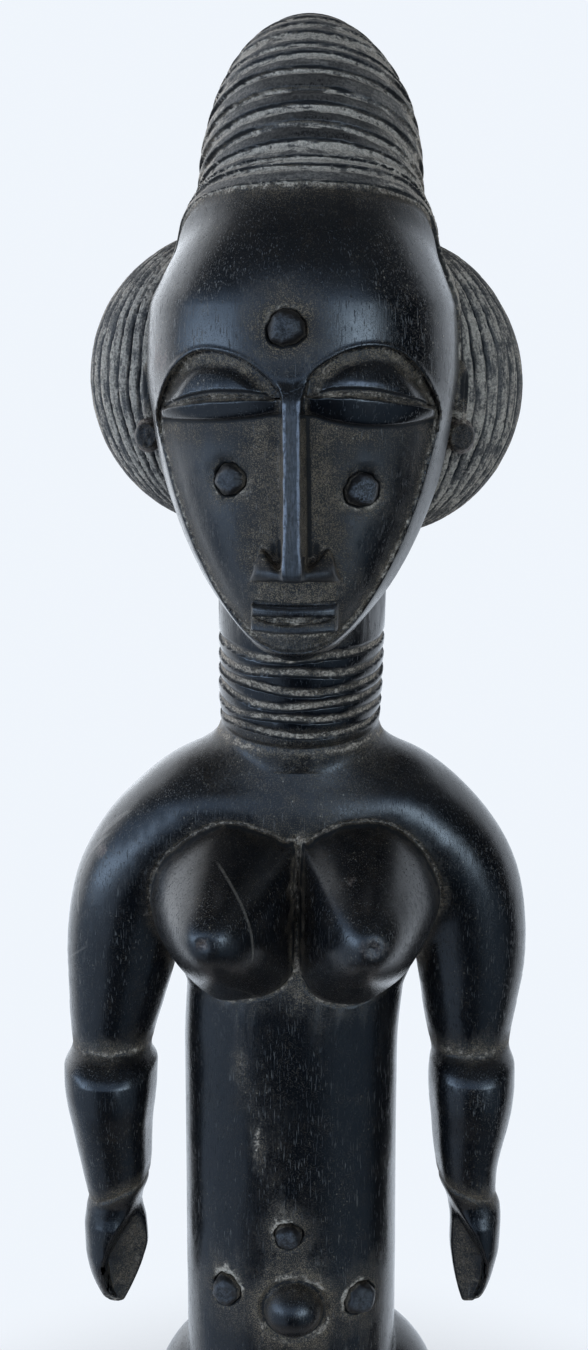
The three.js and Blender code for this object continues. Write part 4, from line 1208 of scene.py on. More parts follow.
    # nose: pale ridge with a painted sheen, dusty foot on one side, painted shade along its foot on the other
    t, f, nfy, *_ = nose_of(fz)
    nx = fx - 0.1 - (355 - fz) * 0.012
    on_ridge = step(t + 0.3, t - 0.05, np.abs(nx)) * step(336, 338, fz) * step(371.5, 368.5, fz) * step(0.9, 0.3, fy - nfy)
    wings = (fz > 335) & (fz < 342) & (np.abs(nx) < 9.5)
    more("dust", 0.36 * low * bell(np.abs(nx) - f - 0.35, 0.5) * (nx < 0) * step(338, 344, fz), face)
    # painted shade along the foot of the nose, on its right side and low on both
    more("dark", 0.9 * low * bell(np.abs(nx) - f - 0.2, 0.55) * ((nx > 0) | (fz < 343)) * step(338.5, 340, fz), face)
    # painted shade in the hollows above the nose wings
    hollow = low * bell(np.hypot((np.abs(nx) - 4.3) / 1.2, (fz - 341.2) / 2.0), 0.9)
    more("dark", 0.8 * hollow, face)
    c["dark"][face] *= 1 - on_ridge
    c["tan"][face] *= 1 - 0.9 * on_ridge
    c["dust"][face] *= 1 - 0.9 * on_ridge
    more("gloss", on_ridge, face)
    # painted sheen along the nose ridge
    more("painted_sheen", on_ridge * np.clip(0.45 + 0.3 * r3, 0, 1), face)
    wing = wings & (fy < -36.6) & (inside > 0.5)
    for k in ("tan", "dust", "speck"):
        c[k][face] = np.where(wing & (fz < 340), c[k][face] * 0.15, c[k][face])
    more("gloss", 0.95 * wing, face)
    # grime with painted shade over the upper part of the wings
    over = wing * step(337.5, 338.7, fz) * step(t + 0.2, t + 1.2, np.abs(nx))
    more("tan", 0.7 * over, face)
    more("dark", over * np.clip(0.5 + 0.5 * r3, 0, 0.8), face)
    more("speck", over, face)
    # painted highlight along the bottom edge of the nose wings
    more("painted_sheen", 0.42 * wing * bell(fz - 336.3 - 0.02 * nx * nx, 0.6) * step(8.8, 7.6, np.abs(nx)) * np.clip(0.8 + 0.4 * r3, 0, 1), face)
    c["speck"][face] *= 1 - 0.9 * on_ridge
    # rims are handled most
    rim = step(2.2, 0.3, np.abs(e - 0.4)) * (e > -0.1)
    more("gloss", rim, face)
    more("worn", 0.22 * bell(e - 0.45, 0.4) * step(366, 350, fz) * (0.6 + 0.6 * r2), face)

    # forehead peg crust
    m = np.flatnonzero(head & (z > 374) & (z < 394) & (Y < -26) & (np.abs(X) < 12))
    rd, ra = near_peg(PEGS[0], X[m], Y[m], z[m])
    up = np.clip(0.55 + 0.45 * np.cos(ra - 2.2) + 0.35 * n3[m] + 0.2 * n2[m], 0, 1)
    crust = step(2.2, 0.5, rd + 0.7 * n3[m]) * (rd > -0.3) * up
    more("dust", 0.45 * crust, m)
    more("tan", np.clip(np.exp(-np.maximum(rd, 0) / 3.2) * 1.6 * (0.65 + 0.35 * up), 0, 1), m)
    more("matte", crust, m)
    # a black gap round the peg, with painted shade deepening it below
    more("dark", bell(rd - 0.1, 0.4) * (0.55 + 0.45 * step(0.3, -0.5, np.sin(ra + 0.5))), m)

    # ears
    m = np.flatnonzero(head & (np.abs(X) > 28) & (Y < 3) & (z > 355) & (z < 380))
    on = step(0.7, 0.25, np.abs(ears(X[m], Y[m], z[m])))
    ear_u = np.abs(X[m])
    from_lobe = np.hypot(ear_u - 33.7, z[m] - 361.9)
    lobe = step(4.3, 3.7, from_lobe) * on
    lobe_rim = bell(from_lobe - 3.3 + 0.15 * n2[m], 0.55) * step(31.0, 33.4, ear_u + 0.2 * (z[m] - 362)) * on
    dish = step(1.3, 0.7, np.hypot((ear_u - 34.6) / 1.6, (z[m] - 371.6) / 4.6)) * on
    c["dust"][m] = c["dust"][m] * (1 - on) + on * np.clip(0.3 * (1 - lobe) * (1 - dish) + 0.35 * lobe_rim + 0.3 * bell(z[m] - 366.2, 1.3), 0, 1)
    # painted shade deep in the ear's hollow and under the lobe
    c["dark"][m] = c["dark"][m] * (1 - on) + on * np.clip(0.8 * dish * step(368, 371, z[m]) + 0.35 * bell(np.hypot(ear_u - 33.2, (z[m] - 361.0) * 0.8), 0.6), 0, 1)
    more("tan", (0.8 - 0.3 * lobe) * on, m)
    more("worn", on * np.maximum(1.0 * lobe_rim, 0.34 * lobe), m)
    more("matte", 0.7 * on, m)
    c["painted_sheen"][m] *= 1 - on

    # neck: polished rings with dusty grooves
    m = np.flatnonzero((z > 290) & (z < 324) & (np.hypot(x, y) < 26) & (~((Y < -24) & (z > 317))))
    nx_, ny_, nz_ = x[m], y[m], z[m]
    for t, w, dep in neck_rings(nx_, ny_, nz_):
        g = step(-w - 0.1, -w + 0.25, t) * (1 - step(w * 0.3, w * 1.5, t + 0.4 * n3[m]))
        more("dust", 0.66 * g * np.clip(0.85 + 0.5 * n2[m], 0.2, 1), m)
        more("tan", 0.8 * g, m)
        # painted shade: a thin black line in the crack at each ring's sharp top edge
        more("dark", 0.8 * bell(t + w + 0.05, 0.2), m)
        more("matte", 0.6 * g, m)
    s_neck = nz_ - (ny_ - 1.5) * NECK_TILT
    more("gloss", 0.9 * (1 - c["dust"][m]), m)
    side_on = 0.55 + 0.45 * step(4, 14, np.abs(nx_ + 2))
    more("dust", 0.72 * side_on * bell(s_neck - 297.0 + 0.5 * n2[m], 1.15) * (0.8 + 0.5 * n3[m]), m)
    more("tan", 0.8 * bell(s_neck - 296.8, 2.0), m)
    # painted shade under the chin and jaw, where the surface faces down
    m = np.flatnonzero(head & (n[:, 2] < -0.4) & (z < 345))
    more("dark", 0.35 + zero[m], m)

    # shoulders, arms and trunk
    body_ = z < 300
    m = np.flatnonzero(body_)
    more("gloss", np.clip(0.8 + 0.2 * n1[m] - 0.3 * step(120, 60, z[m]), 0, 1), m)
    more("speck", np.clip(0.42 + 0.25 * n1[m], 0, 1), m)
    m = np.flatnonzero(body_ & (z > 276))
    foot_neck = np.exp(-np.maximum(np.hypot(x[m], y[m]) - 19, 0) / 5.0)
    more("tan", 0.4 * foot_neck, m)
    more("speck", 0.7 * foot_neck, m)
    more("worn", 0.8 * bell(np.hypot(x[m] + 18.3, z[m] - 299), 1.6) * (0.6 + 0.6 * n3[m]), m)
    m = np.flatnonzero(body_ & (z > 255) & (y < 2) & (x < -30))
    more("worn", 0.9 * bell(np.hypot(x[m] + 44.6, (z[m] - 269.6) * 0.75), 2.0) * (0.75 + 0.45 * n3[m]), m)
    more("worn", 0.4 * bell(np.hypot(x[m] + 41.3, (z[m] - 275.2)), 1.6), m)

    # breasts
    m = np.flatnonzero((z > 228) & (z < 290) & (y < -8) & (np.abs(x) < 42) & (n[:, 1] < 0.4))
    e, front, _ = chest_of(x[m], z[m])
    outline = bell(e - 0.1, 0.42)
    broken = np.clip(0.68 + 0.6 * n2[m] + 0.35 * n3[m], 0.1, 1)
    more("dust", 0.52 * outline * broken, m)
    more("tan", 0.9 * np.exp(-np.abs(e - 0.2) / 1.0), m)
    more("dark", 0.9 * bell(e + 0.5, 0.35), m)
    mid = step(0.85, 0.45, np.abs(x[m] + 0.14 + 0.25 * n2[m])) * step(243, 246, z[m]) * step(276.5, 273, z[m])
    more("dust", mid * (0.62 - 0.3 * bell(z[m] - 256, 8)) * np.clip(0.9 + 0.4 * n3[m], 0, 1), m)
    more("tan", mid, m)
    low = (e > -0.3) * bell(x[m] - 0.8 + 0.3 * n2[m], 3.2) * step(233.5, 238.5, z[m] + 0.8 * n3[m]) * step(249, 246, z[m])
    more("dust", 0.62 * low * broken, m)
    more("tan", low, m)
    high = (e > -0.3) * bell(x[m] + 0.1, 2.6) * step(271.5, 273, z[m]) * step(279, 275.5, z[m] + n3[m])
    more("dust", 0.6 * high * broken, m)
    more("tan", high, m)
    for (tx, tz), reach, much in zip(TEAT, (1.4, 3.2), (0.6, 0.42)):
        w = np.hypot((x[m] - tx), (z[m] - tz) * (1.0 if reach < 2 else 1.35))
        tip = step(reach + 0.8, reach - 0.4, w + 0.5 * n3[m])
        more("worn", tip * much, m)
        c["gloss"][m] *= 1 - 0.45 * tip
    brown = step(-0.5, -2, e) * 0.45 * bell(np.abs(x[m]) - 17 + 3 * n1[m], 9)
    more("tan", brown * 0.2, m)
    more("worn", 0.75 * bell(np.hypot(x[m] - 10.9, (z[m] - 271.2) * 0.8), 1.5) * (0.6 + 0.7 * n3[m]), m)
    more("worn", 0.7 * bell(np.hypot(x[m] - 16.4, z[m] - 267.3), 1.0) * (0.6 + 0.7 * n3[m]), m)

    # elbows, wrists, hands
    u = np.abs(x)
    m = np.flatnonzero((u > 27) & (z > 146) & (z < 226))
    more("dust", 0.48 * bell(z[m] - 220.1 + 0.5 * n2[m], 1.4) * np.clip(0.75 + 0.55 * n3[m] + 0.4 * n2[m], 0, 1), m)
    more("tan", np.clip(1.1 * bell(z[m] - 220.6 + 0.6 * n2[m], 2.1), 0, 1), m)
    more("matte", 0.7 * bell(z[m] - 220.4, 1.6), m)
    w = wrist_line(u[m])
    more("dust", 0.42 * bell(z[m] - w - 0.1, 0.7) * np.clip(0.8 + 0.6 * n3[m], 0, 1) * (y[m] < 2), m)
    more("tan", bell(z[m] - w - 0.5, 2.0), m)
    near = np.where(x[m] < 0, -0.35, 1.6) * step(187, 178, z[m])
    ur = HAND_RIDGE(z[m])[0] + near
    palm = step(0.2, -0.6, u[m] - ur) * step(192, 186, z[m]) * (np.abs(n[m, 1]) > 0.8) * (y[m] < -2)
    more("tan", 0.7 * palm, m)
    more("dust", 0.22 * palm, m)
    more("matte", 0.75 * palm, m)
    c["gloss"][m] *= 1 - 0.8 * palm
    tip = (z[m] < 160) * (n[m, 2] < -0.45) * (n[m, 1] < -0.45)
    more("dust", 0.5 * tip * (0.7 + 0.6 * n3[m]), m)
    more("matte", tip * 1.0, m)
    c["gloss"][m] *= 1 - tip

    # belly pegs and navel
    m = np.flatnonzero((z > 148) & (z < 192) & (y < -8) & (np.abs(x) < 27))
    for peg, (lead, spread, much) in zip(PEGS[3:], ((2.3, 0.9, 0.72), (1.2, 1.2, 0.76), (2.4, 1.0, 0.72))):
        rd, ra = near_peg(peg, x[m], y[m], z[m])
        turn = np.clip(0.25 + 0.75 * np.cos(ra - lead) * spread + 0.45 * n3[m], 0, 1)
        crust = step(2.5, 0.5, rd + 0.8 * n3[m] + 0.4 * n2[m]) * (rd > -0.4) * turn
        more("dust", much * crust, m)
        more("tan", np.clip(np.exp(-np.maximum(rd, 0) / 2.2) * 1.3, 0, 1), m)
        more("matte", crust, m)
        more("dark", bell(rd - 0.05, 0.35) * (1 - 0.6 * turn), m)
    r = np.hypot(x[m] - NAVEL[0], z[m] - NAVEL[2])
    ang = np.arctan2(z[m] - NAVEL[2], x[m] - NAVEL[0])
    ring = bell(r - 8.4 + 0.5 * n3[m], 1.15)
    more("dust", 0.7 * ring * np.clip(0.55 + 0.9 * n2[m] + 0.5 * n3[m] + 0.6 * bell(ang - 1.4, 0.7), 0.1, 1), m)
    more("tan", np.clip(1.3 * bell(r - 8.6 + 0.5 * n2[m], 2.6), 0, 1), m)
    more("matte", 0.8 * ring, m)
    more("dark", 0.9 * bell(r - 7.2, 0.35), m)
    # faint dusty rubs down the belly
    m = np.flatnonzero((z > 170) & (z < 232) & (y < -12) & (np.abs(x) < 26))
    line = -12 + (224 - z[m]) * 0.235
    rub = bell(x[m] - line + 1.2 * n1[m] + 0.5 * n2[m], 1.5) * step(186, 194, z[m]) * step(231, 222, z[m])
    wide_rub = bell(x[m] - line - 2.5 + 1.5 * n1[m], 5.0) * step(186, 194, z[m]) * step(231, 222, z[m])
    more("tan", 0.8 * rub, m)
    more("dust", 0.62 * rub * np.clip(0.5 + 0.9 * n3[m] + 0.3 * n2[m], 0, 1), m)
    more("tan", 0.2 * wide_rub, m)
    more("speck", rub, m)
    more("speck", 0.6 * wide_rub, m)
    # legs, feet and base: handled less, dustier
    m = np.flatnonzero(z < 128)
    more("tan", 0.35 * step(120, 60, z[m]) + 0.4 * bell(z[m] - 75.6, 4), m)
    up = np.clip(n[m, 2], 0, 1) * step(40, 16, z[m])
    more("dust", 0.5 * up * np.clip(0.6 + 0.6 * n2[m] + 0.4 * n1[m], 0, 1), m)
    more("tan", 0.8 * up, m)
    more("matte", 0.7 * step(24, 16, z[m]), m)
    # the back: dust in the furrow, dull between the shoulders
    m = np.flatnonzero((y > 4) & body_)
    more("tan", 0.45 * bell(x[m], 5), m)

    # painted shade: the far side of the hair is painted a little darker
    far = 1 - 0.38 * step(0, 16, Y) * (z > 330)
    c["dust"] *= far
    c["film"] *= far ** 2
    # dirt gathers in every hollow
    free = (1 - in_bun) * (1 - kept) * (c["dark"] < 0.6)
    more("tan", 0.8 * step(0.25, 0.8, cave) * free)
    more("dust", 0.42 * step(0.45, 0.95, cave + 0.2 * rag) * free)
    c["cave"], c["ridge"] = cave, ridge
    return c, comb


marks, comb = paint(p, normals)
me.attributes.new("comb", "FLOAT_VECTOR", "POINT").data.foreach_set("vector", (comb / 1000).astype(np.float32).ravel())
for name, value in marks.items():
    me.attributes.new(name, "FLOAT", "POINT").data.foreach_set("value", np.clip(value, 0, 1).astype(np.float32))


# ---- materials ----------------------------------------------------------
class Net:
    """A material's nodes, written as formulas."""

    def __init__(self, name):
        self.mat = bpy.data.materials.new(name)
        self.mat.use_nodes = True
        self.nodes, self.links = self.mat.node_tree.nodes, self.mat.node_tree.links
        self.shader = self.nodes["Principled BSDF"]
        self.at = self.nodes.new("ShaderNodeTexCoord").outputs["Object"]

    def feed(self, socket, value):
        if isinstance(value, bpy.types.NodeSocket):
            self.links.new(value, socket)
        elif isinstance(value, tuple) and len(value) == 3 and socket.type == "RGBA":
            socket.default_value = (*value, 1)
        else:
            socket.default_value = value

    def math(self, kind, a, b=0.0, clamp=False):
        n = self.nodes.new("ShaderNodeMath")
        n.operation, n.use_clamp = kind, clamp
        self.feed(n.inputs[0], a)
        self.feed(n.inputs[1], b)
        return n.outputs[0]

    def add(self, a, b, clamp=False):
        return self.math("ADD", a, b, clamp)

    def mul(self, a, b, clamp=False):
        return self.math("MULTIPLY", a, b, clamp)

    def ramp(self, x, lo, hi, out_lo=0.0, out_hi=1.0, smooth=True):
        n = self.nodes.new("ShaderNodeMapRange")
        n.interpolation_type = "SMOOTHSTEP" if smooth else "LINEAR"
        n.clamp = True
        for k, v in zip(("Value", "From Min", "From Max", "To Min", "To Max"), (x, lo, hi, out_lo, out_hi)):
            self.feed(n.inputs[k], v)
        return n.outputs[0]

    def mix(self, f, a, b, kind="MIX"):
        n = self.nodes.new("ShaderNodeMix")
        n.data_type, n.blend_type = "RGBA", kind
        self.feed(n.inputs["Factor"], f)
        self.feed(n.inputs["A"], a)
        self.feed(n.inputs["B"], b)
        return n.outputs["Result"]

    def blend(self, f, a, b):
        n = self.nodes.new("ShaderNodeMix")
        n.data_type = "FLOAT"
        self.feed(n.inputs["Factor"], f)
        self.feed(n.inputs[2], a)
        self.feed(n.inputs[3], b)
        return n.outputs[0]

    def stretch(self, sx, sy, sz, shift=(0, 0, 0)):
        """Object coordinates in millimetres, divided by a size along each axis."""
        n = self.nodes.new("ShaderNodeMapping")
        n.inputs["Scale"].default_value = (1000 / sx, 1000 / sy, 1000 / sz)
        n.inputs["Location"].default_value = shift
        self.links.new(self.at, n.inputs["Vector"])
        return n.outputs[0]

    def noise(self, at, detail=2.0, rough=0.5, twist=0.0, scale=1.0):
        n = self.nodes.new("ShaderNodeTexNoise")
        n.inputs["Scale"].default_value = scale
        n.inputs["Detail"].default_value = detail
        n.inputs["Roughness"].default_value = rough
        n.inputs["Distortion"].default_value = twist
        self.links.new(at, n.inputs["Vector"])
        return n.outputs["Fac"]

    def cells(self, at, scale=1.0, kind="F1"):
        n = self.nodes.new("ShaderNodeTexVoronoi")
        n.feature = kind
        n.inputs["Scale"].default_value = scale
        self.links.new(at, n.inputs["Vector"])
        return n.outputs["Distance"]

    def mark(self, name):
        n = self.nodes.new("ShaderNodeAttribute")
        n.attribute_name = name
        return n.outputs["Fac"]

    def axes(self):
        n = self.nodes.new("ShaderNodeSeparateXYZ")
        self.links.new(self.at, n.inputs[0])
        return [self.mul(n.outputs[k], 1000.0) for k in range(3)]

    def bump(self, height_mm, strength=1.0):
        n = self.nodes.new("ShaderNodeBump")
        n.inputs["Strength"].default_value = strength
        n.inputs["Distance"].default_value = 0.001
        self.links.new(height_mm, n.inputs["Height"])
        self.links.new(n.outputs[0], self.shader.inputs["Normal"])

    def arc(self, x, z, centre, radius, width, lo, hi):
        """A thin curved scratch: part of a circle seen from the front, between two heights."""
        dx, dz = self.add(x, -centre[0]), self.add(z, -centre[1])
        r = self.math("SQRT", self.add(self.mul(dx, dx), self.mul(dz, dz)))
        d = self.math("ABSOLUTE", self.add(r, -radius))
        m = self.ramp(d, width, width * 0.3)
        return self.mul(m, self.mul(self.ramp(z, lo, lo + 1.5), self.ramp(z, hi, hi - 1.5)))


def make_dark_wood():
    t = Net("dark_wood")
    dust, tan, dark, gloss, matte, worn, speck, painted_sheen, grey, ridge = (
        t.mark(k) for k in ("dust", "tan", "dark", "gloss", "matte", "worn", "speck", "painted_sheen", "film", "ridge"))
    x, y, z = t.axes()
    combed = t.mark("combed")
    n = t.nodes.new("ShaderNodeAttribute")
    n.attribute_name = "comb"
    m = t.nodes.new("ShaderNodeMapping")
    m.inputs["Scale"].default_value = (1000 / 0.75, 1000 / 6.0, 1.0)
    t.links.new(n.outputs["Vector"], m.inputs["Vector"])
    streak = t.noise(m.outputs[0], 3, 0.62)                           # along the ridges of the hair
    # noises
    grain = t.noise(t.stretch(1.6, 1.6, 26), 3, 0.6, 0.4)             # broad streaks along the trunk
    fibre = t.noise(t.stretch(0.32, 0.32, 6.5), 2, 0.55)              # fine fibre
    broad = t.noise(t.stretch(17, 17, 22), 3, 0.55)                   # patches of handling
    patch = t.noise(t.stretch(4.2, 4.2, 4.2), 4, 0.62)
    grit = t.noise(t.stretch(0.55, 0.55, 0.55), 3, 0.7)               # dust grains
    clump = t.noise(t.stretch(1.5, 1.5, 1.2), 3, 0.6)                 # clumps of dust
    fine = t.noise(t.stretch(0.24, 0.24, 0.24), 2, 0.6)
    pore_a = t.noise(t.stretch(0.30, 0.30, 3.2), 1, 0.5, 0.0)
    pore_b = t.noise(t.stretch(0.42, 0.42, 2.3, (11, 3, 7)), 1, 0.5)
    pits = t.cells(t.stretch(1.9, 1.9, 1.9), 1.0)
    # open pores of the wood, short dashes along the grain
    pore = t.mul(t.ramp(pore_a, 0.64, 0.71), t.ramp(broad, 0.36, 0.6, 0.35, 1.0))
    pore2 = t.ramp(pore_b, 0.70, 0.75)
    # wood: near black with brown and blue-black patches
    wood = t.mix(t.ramp(grain, 0.3, 0.72), (0.0026, 0.0034, 0.0046), (0.0050, 0.0050, 0.0058))
    wood = t.mix(t.ramp(patch, 0.5, 0.75, 0, 0.5), wood, (0.0095, 0.0064, 0.0052))
    wood = t.mix(t.ramp(fibre, 0.35, 0.75, 0, 0.35), wood, (0.0032, 0.0034, 0.0044))
    # a pale blue-grey painted sheen on the nose ridge, the edges of the lips and lids, and the nose wings
    wood = t.mix(t.mul(painted_sheen, t.ramp(t.add(fibre, t.mul(grit, 0.5)), 0.5, 0.95, 0.3, 1.0)), wood, (0.115, 0.118, 0.125))
    # the two worn edges of the nose, painted pale as highlights
    across = t.add(t.add(t.mul(x, 0.9972), t.mul(y, -0.075)), t.add(t.mul(z, 0.012), -6.8545))
    across = t.math("ABSOLUTE", t.add(across, t.mul(t.add(t.noise(t.stretch(3, 3, 3.4), 2, 0.6), -0.5), 0.7)))
    off_edge = t.math("ABSOLUTE", t.add(across, t.ramp(z, 338, 346, -1.75, -1.42)))
    nose_edge_glint = t.mul(t.ramp(off_edge, 0.55, 0.12), t.mul(t.ramp(painted_sheen, 0.1, 0.35), t.mul(t.ramp(z, 337, 339), t.ramp(z, 371.5, 370))))
    wood = t.mix(t.mul(nose_edge_glint, t.ramp(t.add(grit, t.mul(fibre, 0.6)), 0.55, 0.85, 0.3, 1.0)), wood, (0.26, 0.27, 0.30))
    wood = t.mix(t.mul(painted_sheen, t.ramp(pore_b, 0.57, 0.63)), wood, (0.008, 0.007, 0.007))
    # and a painted highlight along the eyelids' edges
    lid_glint = t.mul(t.ramp(painted_sheen, 0.22, 0.6), t.mul(t.ramp(z, 365.5, 366.5), t.ramp(t.math("ABSOLUTE", t.add(x, -2.0)), 4.5, 6.0)))
    wood = t.mix(t.mul(lid_glint, t.ramp(t.add(grit, t.mul(fibre, 0.6)), 0.5, 0.8, 0.2, 0.75)), wood, (0.24, 0.25, 0.275))
    # a thin grey film on the hair
    veil = t.mul(grey, t.ramp(t.add(streak, t.mul(grit, 0.5)), 0.5, 0.95, 0.5, 1.0))
    wood = t.mix(t.mul(veil, 0.88), wood, t.mix(t.ramp(grit, 0.35, 0.65), (0.118, 0.096, 0.078), (0.27, 0.225, 0.182)))
    # grime: brown film, speckled
    tan_n = t.add(t.mul(patch, 0.5), t.mul(grit, 0.5))
    film = t.mul(tan, t.ramp(tan_n, 0.34, 0.60, 0.30, 1.0))
    colour = t.mix(t.mul(film, 0.74), wood, (0.038, 0.0245, 0.014))
    speckle = t.mul(t.ramp(t.add(t.add(fine, t.mul(patch, 0.2)), t.mul(tan, 0.06)), 0.66, 0.75), t.math("MAXIMUM", tan, t.mul(speck, 0.3)))
    colour = t.mix(t.mul(speckle, 0.7), colour, (0.30, 0.215, 0.125))
    # lone specks of dust
    dots = t.cells(t.stretch(1.35, 1.35, 1.6), 1.0)
    dot = t.mul(t.ramp(dots, 0.15, 0.09), t.mul(t.ramp(speck, 0.2, 0.8), t.ramp(patch, 0.46, 0.56)))
    colour = t.mix(t.mul(dot, 0.85), colour, (0.30, 0.245, 0.175))
    # worn wood
    worn_n = t.ramp(t.add(worn, t.mul(t.add(grit, -0.5), 0.7)), 0.25, 0.75)
    colour = t.mix(t.mul(worn_n, 0.8), colour, t.mix(t.ramp(grit, 0.4, 0.65), (0.075, 0.040, 0.030), (0.23, 0.175, 0.135)))
    # pale dust with a broken edge
    clump = t.blend(combed, clump, streak)
    dn = t.add(t.add(t.mul(t.add(grit, -0.5), t.ramp(combed, 0, 1, 0.75, 0.5)), t.mul(t.add(patch, -0.5), 0.55)), t.mul(t.add(clump, -0.5), 1.15))
    crust = t.ramp(t.add(dust, t.mul(dn, t.ramp(dust, 0.0, 0.5))), 0.30, 0.66)
    thin = t.ramp(t.add(dust, dn), 0.10, 0.9, 0, 0.5)
    pale = t.mix(t.ramp(grit, 0.38, 0.62), (0.17, 0.130, 0.096), (0.60, 0.475, 0.35))
    pale = t.mix(t.ramp(fine, 0.55, 0.68, 0, 0.85), pale, (0.06, 0.044, 0.032))
    pale = t.mix(t.ramp(patch, 0.45, 0.75, 0, 0.35), pale, (0.26, 0.175, 0.11))
    # painted highlight: the dust is painted paler on convex ridges
    pale = t.mix(t.mul(t.ramp(ridge, 0.1, 0.6), t.ramp(grit, 0.3, 0.6, 0.2, 0.75)), pale, (0.66, 0.54, 0.41))
    pale = t.mix(t.mul(combed, 0.26), pale, (0.84, 0.71, 0.57))
    dusty = t.math("MAXIMUM", crust, t.mul(thin, t.ramp(dust, 0.05, 0.3)))
    colour = t.mix(t.mul(dusty, 0.92), colour, pale)
    # pores: pale dust in some, dark in others
    pale_pore = t.mul(t.mul(pore, t.ramp(speck, 0.1, 0.6)), t.ramp(patch, 0.40, 0.56))
    colour = t.mix(t.mul(pale_pore, 0.6), colour, (0.19, 0.17, 0.145))
    colour = t.mix(t.mul(pore2, 0.6), colour, (0.004, 0.0035, 0.003))
    # lines, part dirt and part painted shade, under the lips and in other creases; small pits in the crust
    pit = t.mul(t.ramp(pits, 0.26, 0.14), t.mul(t.ramp(dust, 0.25, 0.6), t.ramp(patch, 0.46, 0.6)))
    line = t.ramp(t.add(dark, t.mul(t.add(grit, -0.5), 0.35)), 0.30, 0.72)
    colour = t.mix(t.mul(line, 0.94), colour, (0.0055, 0.0045, 0.004))
    colour = t.mix(t.mul(pit, 0.8), colour, (0.012, 0.010, 0.008))
    # scratches
    arcs = t.arc(x, z, (-29.0, 257.0), 20.4, 0.34, 253.5, 273.5)
    arcs = t.math("MAXIMUM", arcs, t.mul(t.arc(x, z, (-13.0, 246.6), 40.0, 0.5, 271.0, 279.5), t.ramp(x, -30, -34)))
    arcs = t.math("MAXIMUM", arcs, t.mul(t.arc(x, z, (-31.0, 226.0), 26.5, 0.30, 238.0, 247.5), 0.5))
    front = t.ramp(y, -4, -8)
    arcs = t.mul(t.mul(arcs, front), t.ramp(grit, 0.34, 0.5, 0.3, 1.0))
    colour = t.mix(t.mul(arcs, 0.55), colour, (0.20, 0.165, 0.13))
    t.feed(t.shader.inputs["Base Color"], colour)
    # roughness
    base = t.ramp(gloss, 0.0, 1.0, 0.42, 0.185, False)
    base = t.add(base, t.mul(t.add(broad, -0.5), 0.14))
    base = t.add(base, t.mul(painted_sheen, 0.12))
    base = t.add(base, t.mul(t.add(fibre, -0.5), 0.16))
    base = t.add(base, t.mul(t.add(grit, -0.5), 0.10))
    base = t.add(base, t.mul(matte, 0.24))
    base = t.blend(t.mul(t.math("MAXIMUM", film, t.mul(tan, 0.5)), 0.85), base, 0.68)
    base = t.blend(t.mul(worn_n, 0.6), base, 0.5)
    base = t.blend(t.mul(veil, 0.9), base, 0.72)
    base = t.blend(dusty, base, t.ramp(fine, 0.3, 0.7, 0.78, 0.95, False))
    base = t.blend(t.mul(line, 0.85), base, 0.85)
    base = t.blend(t.mul(t.math("MAXIMUM", pore, pore2), 0.6), base, 0.65)
    t.feed(t.shader.inputs["Roughness"], t.math("MINIMUM", t.math("MAXIMUM", base, 0.14), 0.97))
    # bump, in millimetres
    h = t.mul(t.add(broad, -0.5), 0.30)
    h = t.add(h, t.mul(t.noise(t.stretch(5.0, 5.0, 8.0), 1, 0.4), 0.07))
    h = t.add(h, t.mul(fibre, 0.018))
    h = t.add(h, t.mul(pore, -0.055))
    h = t.add(h, t.mul(pore2, -0.05))
    h = t.add(h, t.mul(t.mul(t.math("MAXIMUM", dusty, t.mul(film, 0.5)), grit), 0.14))
    h = t.add(h, t.mul(dusty, 0.05))
    h = t.add(h, t.mul(speckle, 0.05))
    h = t.add(h, t.mul(pit, -0.16))
    h = t.add(h, t.mul(line, -0.06))
    h = t.add(h, t.mul(arcs, 0.03))
    h = t.add(h, t.mul(t.mul(worn_n, fine), 0.07))
    t.bump(h)
    t.shader.inputs["IOR"].default_value = 1.5
    return t.mat


